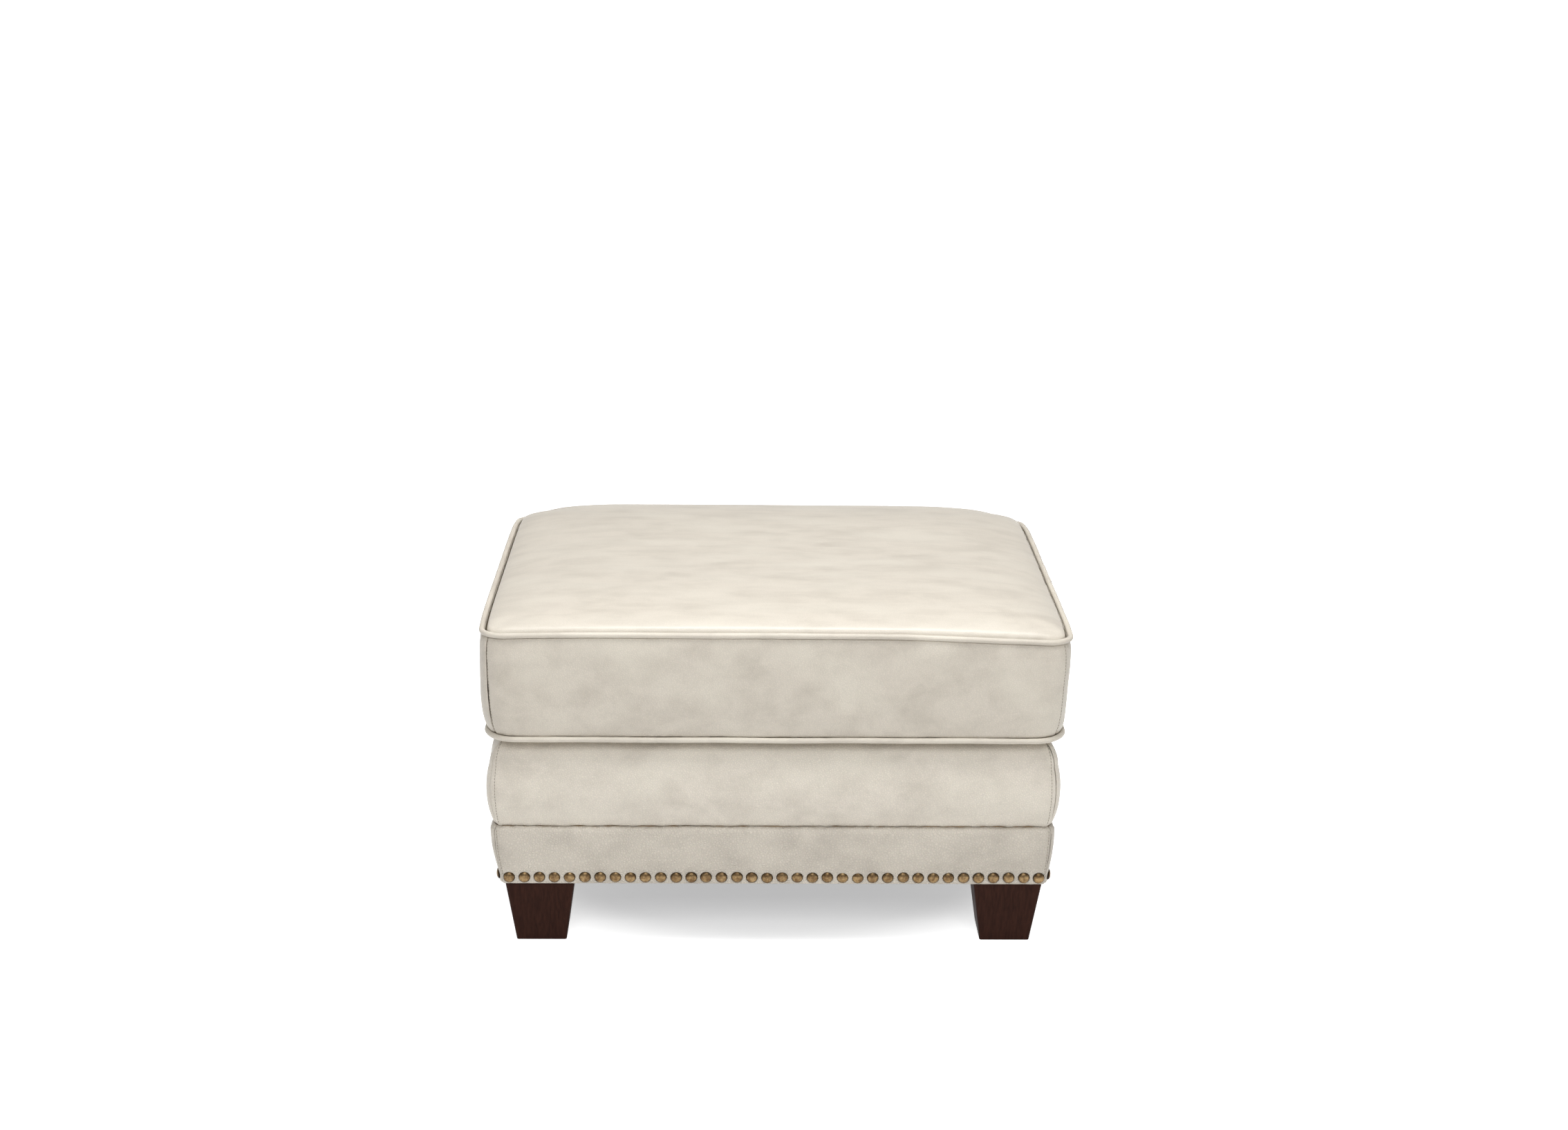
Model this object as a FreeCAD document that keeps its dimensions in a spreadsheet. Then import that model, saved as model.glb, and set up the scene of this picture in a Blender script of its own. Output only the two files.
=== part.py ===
import FreeCAD, Part
import math
import os
import re
import Sketcher
from FreeCAD import Placement, Rotation, Vector

# A leather footstool: a hardwood box on four tapered feet, sprung and padded,
# covered in two bands of leather, with a loose boxed cushion that has a zip at the back.
# Millimetres. X runs across, the front looks along -Y, Z is up, and the floor is Z = 0
# with the origin under the middle of the stool.

doc = FreeCAD.newDocument("Footstool")

# Driving dimensions
SIZES = {
    # the whole stool
    "cushion_width": (762, "over the piping, side to side"),
    "cushion_depth": (610, "over the piping, front to back"),
    "base_inset": (15.5, "covered base inside the cushion's edge, on every side"),
    "seat_height": (297.3, "top of the leather rim that the cushion lies on"),
    "junction_height": (174.2, "line where the lower band meets the upper border"),
    "soft_gap": (0.3, "room between the loose cushion and its deck"),
    # materials
    "leather": (1.6, "thickness of the cover leather"),
    "batting": (3, "thickness of the batting under the lower band"),
    "dust_cloth": (0.5, "thickness of the cloth under the frame"),
    "hessian": (1.2, "thickness of the spring cover"),
    "deck_cloth": (0.8, "thickness of the cloth over the deck"),
    # feet
    "foot_height": (90, "floor to the underside of the base"),
    "foot_top": (92, "side of the foot at its top"),
    "foot_bottom": (67, "side of the foot at the floor"),
    "foot_inset": (7.5, "foot inside the lower band, on both outer sides"),
    "foot_edge": (3, "rounding of the foot's upright edges"),
    # frame
    "rail": (22, "thickness of the boards"),
    "brace_height": (70, "height of the centre brace"),
    "block_leg": (110, "length of a corner block along each board"),
    "block_nose": (12, "blunt end of a corner block"),
    "block_height": (50, "height of a corner block"),
    # joints of the frame
    "dowel": (5, "radius of a dowel"),
    "dowel_in_end": (30, "length of dowel in a board's end"),
    "dowel_in_face": (14, "length of dowel in a board's face"),
    "dowel_low": (20, "height of the lower dowel above the board's bottom"),
    "dowel_high": (37.1, "depth of the upper dowel below the front board's top"),
    "brace_dowel_high": (20, "depth of the brace's upper dowel below its top"),
    "glue_gap": (0.1, "room around a dowel"),
    "hole_deeper": (1, "hole deeper than the bolt, dowel or screw in it"),
    "screw": (2.1, "radius of a block screw"),
    "screw_head": (4.2, "radius of its head"),
    "screw_head_height": (2.6, "height of its head"),
    "screw_seat": (27, "wood left under a screw's head"),
    "screw_in_board": (16, "length of screw in the board, without its point"),
    "screw_point": (3, "length of the screw's point"),
    "screw_reach": (70, "distance of a block screw from the frame's corner"),
    "screw_level": (25, "height of the block screws above the block's bottom"),
    "bolt": (4, "radius of a foot's bolt"),
    "bolt_in_foot": (35, "length of bolt in the foot"),
    "bolt_stands_out": (3, "length of bolt above its nut"),
    "bolt_gap": (0.3, "room around a bolt where it passes through"),
    "thread_gap": (0.05, "room around a bolt where it is threaded in"),
    "nut_barrel": (5, "radius of a tee nut's barrel"),
    "nut_depth": (12, "length of its barrel"),
    "nut_flange": (11, "radius of its flange"),
    "nut_plate": (1.4, "thickness of its flange"),
    # springs
    "spring_count": (5, "number of springs"),
    "spring_side": (98.9, "middle of an outer spring to the inside of the side board"),
    "spring_wire": (2.05, "radius of the spring wire"),
    "spring_width": (50, "width of a spring over its loops"),
    "loop_pitch": (30, "distance from one cross wire to the next, about"),
    "spring_rise": (25, "height of the springs' arch"),
    "clip_plate": (1.2, "thickness of a spring clip's metal"),
    "clip_width": (16, "width of a spring clip"),
    "clip_tail": (7, "length of the clip's plate past its eye, each way"),
    "clip_gap": (0.1, "room around the wire in a clip"),
    "clip_nail": (1.2, "radius of a clip nail"),
    "clip_nail_head": (2.6, "radius of its head"),
    "clip_nail_plate": (0.9, "thickness of its head"),
    "clip_nail_length": (18, "length of a clip nail in the board"),
    "tie_wire": (1.5, "radius of a tie wire"),
    "tie_from_clip": (181.9, "distance of a tie wire from the springs' ends"),
    "rest_gap": (0.3, "room between pieces that lie on each other"),
    "hessian_end": (1, "spring cover's end inside the board's outer face"),
    "hessian_side": (4, "spring cover's side inside the edge roll"),
    # padding
    "roll_upright": (17.2, "height of the edge roll under its rounding"),
    "roll_radius": (28, "rounding of the edge roll"),
    "roll_flat": (12, "flat top of the edge roll inside its rounding"),
    "border_pad": (8.4, "thickness of the padding over the edge roll"),
    "border_bulge": (6.5, "how far the upper border bulges past its lower edge"),
    "border_step": (1.5, "upper border outside the lower band at their junction"),
    "rim_width": (50, "flat leather rim inside the rounded shoulder"),
    "strip_height": (12, "height of the card strip behind the junction"),
    "band_edge": (3, "rounding of the lower band's bottom edge"),
    # decorative nails
    "nail_head": (8, "radius of a nail's head"),
    "nail_dome": (3.4, "height of the head's dome"),
    "nail_pitch": (20.1, "distance from nail to nail, about"),
    "nail_corner": (13.75, "first nail from the band's corner"),
    "nail_level": (10.5, "nails above the band's bottom edge"),
    "nail_shank": (1.1, "half thickness of the square shank"),
    "nail_length": (10, "length of the shank"),
    # dust cloth and its staples
    "dust_inset": (12, "dust cloth inside the lower band"),
    "staple_crown": (10, "width of a staple"),
    "staple_wire": (0.7, "thickness of a staple"),
    "staple_leg": (6, "length of a staple's leg in the wood"),
    "staple_pitch": (62, "distance from staple to staple"),
    "staple_from_foot": (15, "least distance of a staple from a foot"),
    # cushion
    "boxing": (139.5, "height from piping to piping, middle to middle"),
    "welt": (3.75, "radius of the piping"),
    "welt_cord": (2.3, "radius of the cord in the piping"),
    "welt_slit": (40, "degrees left open where the piping is sewn in"),
    "lower_welt_lift": (3.4, "middle of the lower piping above the bottom panel's face"),
    "top_corner": (23, "corner radius of the upper piping's middle line"),
    "bottom_corner": (40, "corner radius of the lower piping's middle line"),
    "crown": (29, "rise of the top panel above the upper piping"),
    "seam_gap": (0.2, "room between a panel and the piping beside it"),
    "fill_gap": (0.8, "room between the cover and its filling"),
    "foam_below": (4, "top of the foam below the middle of the upper piping"),
    "zip_room": (2, "extra room between the foam and the zip"),
    # zip
    "zip_end": (61, "end of the zip inside the cushion's side"),
    "zip_opening": (5.2, "half height of the opening between the back strips"),
    "tape": (0.7, "thickness of the zip's tape"),
    "tape_width": (11, "width of each tape"),
    "tape_past": (6, "length of the tapes past each end of the zip"),
    "tape_room": (0.5, "room between the tapes and the back strips"),
    "chain": (2.4, "thickness of the zip's teeth"),
    "chain_width": (6, "width of the closed teeth"),
    "stop_length": (4, "length of the stop at each end of the zip"),
    "slide_gap": (0.2, "room around the teeth in the slider"),
    "slider_plate": (1.1, "thickness of the slider's plates"),
    "slider_length": (10, "length of the slider"),
    "slider_width": (8.6, "width of the slider"),
    "post_tip": (1.1, "half height of the slider's post at the teeth"),
    "post_root": (1.6, "half height of the slider's post at its nose"),
    "bail_span": (3.2, "half length of the slider's bail"),
    "bail_width": (1, "half width of the bail"),
    "bail_wall": (0.6, "thickness of the bail"),
    "bail_room": (2.2, "height of the hole under the bail"),
    "tab_length": (24, "length of the pull tab"),
    "tab_width": (7, "width of the pull tab"),
    "tab_plate": (1, "thickness of the pull tab"),
    "tab_window": (4, "length of the opening at the tab's hinged end"),
    "tab_corner": (2, "corners cut off the tab's free end"),
    "tab_gap": (0.5, "room between the tab's arms and the bail"),
}

# Sizes and places worked out from them
WORKED = {
    "band_x": "cushion_width / 2 - base_inset",
    "band_y": "cushion_depth / 2 - base_inset",
    "frame_x": "band_x - leather - batting",
    "frame_y": "band_y - leather - batting",
    "lip_bottom": "foot_height + dust_cloth",
    "frame_bottom": "lip_bottom + leather",
    "shoulder": "roll_radius + border_pad + leather",
    "shoulder_z": "seat_height - shoulder",
    "frame_top": "shoulder_z - roll_upright",
    "clip_height": "2 * clip_plate + 2 * (spring_wire + clip_gap)",
    "spring_rail_top": "frame_top - clip_height - hessian",
    "brace_top": "frame_bottom + brace_height",
    "inner_x": "frame_x - rail",
    "inner_y": "frame_y - rail",
    "foot_x": "band_x - foot_inset - foot_top / 2",
    "foot_y": "band_y - foot_inset - foot_top / 2",
    "bolt_corner": "foot_inset + foot_top / 2 - leather - batting - rail",
    "block_top": "frame_bottom + block_height",
    "screw_z": "frame_bottom + screw_level",
    # springs: a circle through both clips and the top of the arch
    "spring_pitch": "2 * (inner_x - spring_side) / (spring_count - 1)",
    "clip_y": "frame_y - rail / 2",
    "tie_place": "clip_y - tie_from_clip",
    "wire_end_z": "spring_rail_top + clip_plate + clip_gap + spring_wire",
    "arch_radius": "(clip_y ^ 2 + spring_rise ^ 2) / (2 * spring_rise)",
    "arch_middle": "wire_end_z + spring_rise - arch_radius",
    "hessian_under": "arch_radius + spring_wire + clip_gap + clip_plate + clip_gap",
    "hessian_over": "hessian_under + hessian",
    "hessian_y": "frame_y - hessian_end",
    "hessian_x": "band_x - roll_in - hessian_side",
    # padding
    "shoulder_in": "leather + batting + roll_radius",
    "roll_in": "shoulder_in + roll_flat",
    "deck_x": "band_x - shoulder_in - rim_width",
    "deck_y": "band_y - shoulder_in - rim_width",
    "foam_top": "seat_height - leather",
    "nail_z": "lip_bottom + nail_level",
    # cushion
    "cushion_bottom": "seat_height + soft_gap",
    "lower_welt_z": "cushion_bottom + lower_welt_lift",
    "upper_welt_z": "lower_welt_z + boxing",
    "seam_x": "cushion_width / 2 - welt",
    "seam_y": "cushion_depth / 2 - welt",
    "panel_x": "seam_x - welt - seam_gap",
    "panel_y": "seam_y - welt - seam_gap",
    "crown_top": "upper_welt_z + crown",
    "crown_run": "0.6 * panel_y",
    # zip
    "zip_z": "(lower_welt_z + upper_welt_z) / 2",
    "zip_length": "cushion_width - 2 * zip_end",
    "tape_y": "cushion_depth / 2 - leather - tape_room - tape / 2",
    "slider_x": "zip_length / 2 - stop_length - slider_length / 2 - rest_gap",
    "slider_face": "tape_y + chain / 2 + slide_gap + slider_plate",
    "hinge_y": "slider_face + bail_room / 2",
}

sheet = doc.addObject("Spreadsheet::Sheet", "Sizes")
for row, (name, (number, note)) in enumerate(SIZES.items(), start=1):
    sheet.set(f"A{row}", name)
    sheet.set(f"B{row}", str(number))
    sheet.setAlias(f"B{row}", name)
    sheet.set(f"C{row}", note)
doc.recompute()


def formula(text):
    """An expression over the sheet's cells, from a text that uses plain names."""
    def swap(match):
        word = match.group(0)
        if word in WORKED:
            return "(" + formula(WORKED[word]) + ")"
        return "Sizes." + word if word in SIZES else word
    return re.sub(r"[a-z][a-z_]*", swap, str(text))


def value(text):
    """The number that a formula gives now."""
    return float(sheet.evalExpression(formula(text)))


def bind(item, **sizes):
    """Tie properties of an object to formulas. A double underscore stands for a point."""
    for name, text in sizes.items():
        item.setExpression(name.replace("__", "."), formula(text))
    return item


def put(item, x="0", y="0", z="0"):
    """Tie an object's place to formulas."""
    return bind(item, Placement__Base__x=x, Placement__Base__y=y, Placement__Base__z=z)


AXES = {
    "X": Rotation(Vector(0, 1, 0), 90),
    "Y": Rotation(Vector(1, 0, 0), -90),
    "Z": Rotation(),
}


def block(name, x, y, z):
    """A straight-sided box between pairs of formulas."""
    item = doc.addObject("Part::Box", name)
    bind(item, Length=f"{x[1]} - ({x[0]})", Width=f"{y[1]} - ({y[0]})", Height=f"{z[1]} - ({z[0]})")
    return put(item, x[0], y[0], z[0])


def rod(name, radius, length, start, axis="Z"):
    """A cylinder that starts at a point and runs along +X, +Y or +Z."""
    item = doc.addObject("Part::Cylinder", name)
    bind(item, Radius=radius, Height=length)
    item.Placement = Placement(Vector(), AXES[axis])
    return put(item, *start)


def joined(name, pieces):
    """One solid from several."""
    item = doc.addObject("Part::MultiFuse", name)
    item.Shapes = pieces
    return item


def cut(name, base, tools):
    """A solid less one or more tools."""
    item = doc.addObject("Part::Cut", name)
    item.Base = base
    item.Tool = tools[0] if len(tools) == 1 else joined(name + "_holes", tools)
    return item


def shared(name, base, tool):
    """What two solids have in common."""
    item = doc.addObject("Part::Common", name)
    item.Base = base
    item.Tool = tool
    return item


def bundle(name, pieces):
    """Separate solids kept as one sub-part."""
    item = doc.addObject("Part::Compound", name)
    item.Links = pieces
    return item


def feature(name, shape):
    """A sub-part whose shape was worked out here."""
    item = doc.addObject("Part::Feature", name)
    item.Shape = shape
    return item


def copies(name, solid, places):
    """Copies of one small solid, kept as one sub-part."""
    return feature(name, Part.makeCompound([solid.transformed(p.toMatrix()) for p in places]))


def body(name):
    """A body for sketches and features."""
    return doc.addObject("PartDesign::Body", name)


def plane(owner, role):
    """One of a body's own planes or axes."""
    return [item for item in owner.Origin.OriginFeatures if item.Role == role][0]


def sketch(owner, name, role, offset="0"):
    """An empty sketch on one of a body's own planes, moved along the plane's normal."""
    item = owner.newObject("Sketcher::SketchObject", f"{owner.Name}_{name}")
    item.AttachmentSupport = [(plane(owner, role), "")]
    item.MapMode = "FlatFace"
    return bind(item, AttachmentOffset__Base__z=offset)


def arc_through(start, end, radius, side):
    """An arc between two points; side is 1 when its middle lies to the left of the way there."""
    chord = end - start
    away = Vector(-chord.y, chord.x, 0).normalize() * side
    depth = math.sqrt(max(radius ** 2 - (chord.Length / 2) ** 2, 0))
    centre = (start + end) / 2 + away * depth
    return Part.Arc(start, centre - away * radius, end)


SAME_SPOT = 1e-6


def outline(item, points):
    """A closed outline in a sketch, with every corner and radius tied to its formula.

    Each point is (x, y) or (x, y, radius, side): with a radius, the edge from that point
    to the next is an arc, less than half a circle.
    """
    spots = [Vector(value(p[0]), value(p[1]), 0) for p in points]
    first = item.GeometryCount
    for number, point in enumerate(points):
        start, end = spots[number], spots[(number + 1) % len(points)]
        edge = Part.LineSegment(start, end)
        if len(point) > 2:
            edge = arc_through(start, end, value(point[2]), point[3])
        item.addGeometry(edge)
    count = len(points)
    ends = []
    for number in range(count):
        line = first + number
        near = (item.getPoint(line, 1) - spots[number]).Length < SAME_SPOT
        ends.append((1, 2) if near else (2, 1))
    for number, point in enumerate(points):
        line, before = first + number, first + (number - 1) % count
        start = ends[number][0]
        item.addConstraint(Sketcher.Constraint("Coincident", before, ends[number - 1][1], line, start))
        for kind, text, now in (("DistanceX", point[0], spots[number].x),
                                ("DistanceY", point[1], spots[number].y)):
            tied = item.addConstraint(Sketcher.Constraint(kind, -1, 1, line, start, now))
            item.setExpression(f"Constraints[{tied}]", formula(text))
        if len(point) > 2:
            tied = item.addConstraint(Sketcher.Constraint("Radius", line, value(point[2])))
            item.setExpression(f"Constraints[{tied}]", formula(point[2]))
    return item


def circle(item, x, y, radius):
    """A circle in a sketch, tied to its formulas."""
    centre = Vector(value(x), value(y), 0)
    line = item.addGeometry(Part.Circle(centre, Vector(0, 0, 1), value(radius)))
    for kind, text, now in (("DistanceX", x, centre.x), ("DistanceY", y, centre.y)):
        tied = item.addConstraint(Sketcher.Constraint(kind, -1, 1, line, 3, now))
        item.setExpression(f"Constraints[{tied}]", formula(text))
    tied = item.addConstraint(Sketcher.Constraint("Radius", line, value(radius)))
    item.setExpression(f"Constraints[{tied}]", formula(radius))
    return item


def rounded(half_x, half_y, radius):
    """The points of a rectangle with round corners about the origin, anticlockwise."""
    x, y, r = f"({half_x})", f"({half_y})", f"({radius})"
    return [
        (f"{r} - {x}", f"-{y}"), (f"{x} - {r}", f"-{y}", radius, 1),
        (x, f"{r} - {y}"), (x, f"{y} - {r}", radius, 1),
        (f"{x} - {r}", y), (f"{r} - {x}", y, radius, 1),
        (f"-{x}", f"{y} - {r}"), (f"-{x}", f"{r} - {y}", radius, 1),
    ]


def pad(owner, profile, length, midplane=False, reverse=False):
    """A profile made solid along its normal."""
    item = owner.newObject("PartDesign::Pad", owner.Name + "_pad")
    item.Profile = profile
    item.SideType = "Symmetric" if midplane else "One side"
    item.Reversed = reverse
    return bind(item, Length=length)


def pocket(owner, profile, length, reverse=False):
    """A pocket, with a check that it takes material away."""
    doc.recompute()
    before = owner.Shape.Volume
    item = owner.newObject("PartDesign::Pocket", owner.Name + "_pocket")
    item.Profile = profile
    item.Reversed = reverse
    bind(item, Length=length)
    doc.recompute()
    if owner.Shape.Volume >= before:
        raise ValueError(f"{item.Name} cuts nothing")
    return item


def pipe(owner, profile, path, corners="Transformed"):
    """A profile carried round a path."""
    item = owner.newObject("PartDesign::AdditivePipe", owner.Name + "_pipe")
    item.Profile = profile
    item.Spine = (path, [])
    item.Transition = corners
    return item


def loft(owner, sections, taken_away=False, ruled=True):
    """A loft through round-cornered rectangles, each (half_x, half_y, radius, z)."""
    kind = "SubtractiveLoft" if taken_away else "AdditiveLoft"
    sketches = []
    for number, (half_x, half_y, radius, z) in enumerate(sections):
        item = sketch(owner, f"{'cut' if taken_away else 'section'}{number}", "XY_Plane", z)
        sketches.append(outline(item, rounded(half_x, half_y, radius)))
    item = owner.newObject("PartDesign::" + kind, f"{owner.Name}_{kind}")
    item.Profile = sketches[0]
    item.Sections = sketches[1:]
    item.Ruled = ruled
    return item


# The four sides of the stool: half their length, their distance from the middle, and their turn
SIDES = {
    "front": ("band_x", "band_y", 0),
    "right": ("band_y", "band_x", 90),
    "back": ("band_x", "band_y", 180),
    "left": ("band_y", "band_x", 270),
}

# Mitres: four wedges that meet on the lines through the corners. They reach past what
# they cut, outwards, inwards and upwards.
PAST = "60"
MITRE_IN = f"(shoulder_in + rim_width + {PAST})"
MITRE_TOP = f"crown_top + {PAST}"


def mitre(name, across, away, turn):
    """A wedge that keeps one side of a ring, for the side that faces -Y before it is turned."""
    item = doc.addObject("Part::Wedge", name)
    bind(
        item,
        Xmin=f"-({across}) - {PAST}", Xmax=f"{across} + {PAST}",
        Ymin=f"-({away}) - {PAST}", Ymax=f"{MITRE_IN} - ({away})",
        Zmin="0", Zmax=MITRE_TOP, Z2min="0", Z2max=MITRE_TOP,
        X2min=f"{MITRE_IN} - ({across})", X2max=f"{across} - {MITRE_IN}",
    )
    item.Placement = Placement(Vector(), Rotation(Vector(0, 0, 1), turn))
    return item


MITRES = {name: mitre("mitre_" + name, *side) for name, side in SIDES.items()}

CORNERS = {
    "front_left": (-1, -1, 0),
    "front_right": (1, -1, 90),
    "back_right": (1, 1, 180),
    "back_left": (-1, 1, 270),
}
parts = []


def signed(side, text):
    """A formula on the plus or the minus side."""
    return text if side > 0 else f"-({text})"


# Feet
def make_foot(name):
    """A tapered block of hardwood, with a hole for the bolt."""
    foot = body(name)
    half_top, half_bottom = "foot_top / 2", "foot_bottom / 2"
    loft(foot, [(half_bottom, half_bottom, "foot_edge", "0"),
                (half_top, half_top, "foot_edge", "foot_height")])
    mouth = sketch(foot, "bolt_hole", "XY_Plane", "foot_height")
    circle(mouth, "0", "0", "bolt + thread_gap")
    pocket(foot, mouth, "bolt_in_foot + hole_deeper")
    return foot


for corner, (side_x, side_y, _) in CORNERS.items():
    foot = make_foot("foot_" + corner)
    parts.append(put(foot, signed(side_x, "foot_x"), signed(side_y, "foot_y")))


# Corner blocks
def make_corner_block(name):
    """A block glued and screwed into a corner of the frame, with a foot's bolt through it."""
    piece = body(name)
    leg, nose = "block_leg", "block_nose"
    plan = sketch(piece, "plan", "XY_Plane")
    outline(plan, [("0", "0"), (leg, "0"), (leg, nose), (nose, leg), ("0", leg)])
    pad(piece, plan, "block_height")
    drill = sketch(piece, "bolt_hole", "XY_Plane")
    circle(drill, "bolt_corner", "bolt_corner", "bolt + bolt_gap")
    pocket(piece, drill, "block_height", reverse=True)
    seat = sketch(piece, "nut_hole", "XY_Plane", "block_height")
    circle(seat, "bolt_corner", "bolt_corner", "nut_barrel + bolt_gap")
    pocket(piece, seat, "nut_depth")
    for role, reverse in (("XZ_Plane", False), ("YZ_Plane", True)):
        drill = sketch(piece, "screw_" + role[:2], role)
        circle(drill, "screw_reach", "screw_level", "screw + bolt_gap")
        pocket(piece, drill, "block_leg", reverse)
        offset = "screw_seat" if reverse else "-screw_seat"
        drill = sketch(piece, "head_" + role[:2], role, offset)
        circle(drill, "screw_reach", "screw_level", "screw_head + bolt_gap")
        pocket(piece, drill, "block_leg", reverse)
    return piece


for corner, (side_x, side_y, turn) in CORNERS.items():
    piece = make_corner_block("corner_block_" + corner)
    piece.Placement = Placement(Vector(), Rotation(Vector(0, 0, 1), turn))
    parts.append(put(piece, signed(side_x, "inner_x"), signed(side_y, "inner_y"), "frame_bottom"))

# Boards, drilled for the dowels and the block screws
DOWEL_LEVELS = ("frame_bottom + dowel_low", "spring_rail_top - dowel_high")
BRACE_LEVELS = ("frame_bottom + dowel_low", "brace_top - brace_dowel_high")
DOWEL_SPOTS = [
    (signed(side, "frame_x - rail / 2"), level) for side in (-1, 1) for level in DOWEL_LEVELS
] + [("0", level) for level in BRACE_LEVELS]


def dowel_rods(name, radius, slack, end):
    """Rods along Y at every dowel of the front (end -1) or back (end 1) board."""
    length = f"dowel_in_face + dowel_in_end + 2 * ({slack})"
    low = f"inner_y - dowel_in_end - ({slack})"
    start = low if end > 0 else f"-({low}) - ({length})"
    return [
        rod(f"{name}_{number}", radius, length, (x, start, z), "Y")
        for number, (x, z) in enumerate(DOWEL_SPOTS)
    ]


def pilot_rods(name, axis, side):
    """Holes in a board for the block screws that run into it along X or Y."""
    across = "inner_x" if axis == "Y" else "inner_y"
    inside = "inner_y" if axis == "Y" else "inner_x"
    depth = "screw_in_board + screw_point + hole_deeper"
    start = inside if side > 0 else f"-({inside}) - ({depth})"
    found = []
    for hand in (-1, 1):
        place = signed(hand, f"{across} - screw_reach")
        spot = (place, start, "screw_z") if axis == "Y" else (start, place, "screw_z")
        found.append(rod(f"{name}_{'left' if hand < 0 else 'right'}", "screw + thread_gap",
                         depth, spot, axis))
    return found


def dowel_holes(name, end):
    """Holes for the dowels of the front or back board, one rod for each."""
    return dowel_rods(name, "dowel + glue_gap", "hole_deeper", end)


for end, name in ((-1, "front_board"), (1, "back_board")):
    y = ("inner_y", "frame_y") if end > 0 else ("-(frame_y)", "-(inner_y)")
    plank = block(name + "_plank", ("-(frame_x)", "frame_x"), y, ("frame_bottom", "spring_rail_top"))
    holes = dowel_holes(name + "_dowel", end) + pilot_rods(name + "_pilot", "Y", end)
    parts.append(cut(name, plank, holes))

for side, name in ((-1, "left_board"), (1, "right_board")):
    x = ("inner_x", "frame_x") if side > 0 else ("-(frame_x)", "-(inner_x)")
    plank = block(name + "_plank", x, ("-(inner_y)", "inner_y"), ("frame_bottom", "frame_top"))
    holes = pilot_rods(name + "_pilot", "X", side)
    for end in (-1, 1):
        rods = dowel_holes(f"{name}_dowel{'b' if end > 0 else 'f'}", end)
        first = 0 if side < 0 else len(DOWEL_LEVELS)
        holes += rods[first:first + len(DOWEL_LEVELS)]
        for spare in rods[:first] + rods[first + len(DOWEL_LEVELS):]:
            doc.removeObject(spare.Name)
    parts.append(cut(name, plank, holes))

plank = block("brace_plank", ("-rail / 2", "rail / 2"), ("-(inner_y)", "inner_y"), ("frame_bottom", "brace_top"))
holes = []
for end in (-1, 1):
    rods = dowel_holes(f"brace_dowel{'b' if end > 0 else 'f'}", end)
    holes += rods[-len(BRACE_LEVELS):]
    for spare in rods[:-len(BRACE_LEVELS)]:
        doc.removeObject(spare.Name)
parts.append(cut("centre_brace", plank, holes))
front_dowels = dowel_rods("dowel_front", "dowel", "0", -1)
back_dowels = dowel_rods("dowel_back", "dowel", "0", 1)
parts.append(bundle("dowels", front_dowels + back_dowels))

# Foot bolts and their tee nuts
bolt_spots = [(signed(x, "foot_x"), signed(y, "foot_y")) for x, y, _ in CORNERS.values()]
BOLT_START = "foot_height - bolt_in_foot"
BOLT_LENGTH = "block_top + nut_plate + bolt_stands_out - foot_height + bolt_in_foot"
parts.append(bundle("foot_bolts", [
    rod(f"foot_bolt_{number}", "bolt", BOLT_LENGTH, (x, y, BOLT_START))
    for number, (x, y) in enumerate(bolt_spots)
]))


def tee_nut(number, x, y):
    """A round flange on a corner block, with a threaded barrel in it."""
    bottom = (x, y, "block_top - nut_depth")
    flange = rod(f"nut_flange_{number}", "nut_flange", "nut_plate", (x, y, "block_top"))
    barrel = rod(f"nut_barrel_{number}", "nut_barrel", "nut_depth", bottom)
    bore = rod(f"nut_bore_{number}", "bolt + thread_gap", "nut_depth + nut_plate", bottom)
    return cut(f"tee_nut_{number}", joined(f"nut_body_{number}", [flange, barrel]), [bore])


parts.append(bundle("tee_nuts", [tee_nut(number, x, y) for number, (x, y) in enumerate(bolt_spots)]))


# Block screws: a round head on its seat, the shank through the block and a point in the board
def block_screw():
    """One screw that points down -Y, with the underside of its head at the origin."""
    radius, point = value("screw"), value("screw_point")
    length = value("screw_seat + screw_in_board")
    head = Part.makeCylinder(value("screw_head"), value("screw_head_height"))
    shank = Part.makeCylinder(radius, length, Vector(0, 0, -length))
    tip = Part.makeCone(0, radius, point, Vector(0, 0, -length - point))
    whole = head.multiFuse([shank, tip]).removeSplitter()
    whole.rotate(Vector(), Vector(1, 0, 0), -90)
    return whole


def screw_places():
    """Two screws in each corner block, one into each of its boards."""
    seat, reach = value("screw_seat"), value("screw_reach")
    inner = Vector(value("inner_x"), value("inner_y"), value("screw_z"))
    found = []
    for side_x, side_y, turn in CORNERS.values():
        spot = Vector(side_x * inner.x, side_y * inner.y, inner.z)
        corner = Placement(spot, Rotation(Vector(0, 0, 1), turn))
        found.append(corner * Placement(Vector(reach, seat, 0), Rotation()))
        found.append(corner * Placement(Vector(seat, reach, 0), Rotation(Vector(0, 0, 1), -90)))
    return found


parts.append(copies("block_screws", block_screw(), screw_places()))


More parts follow.
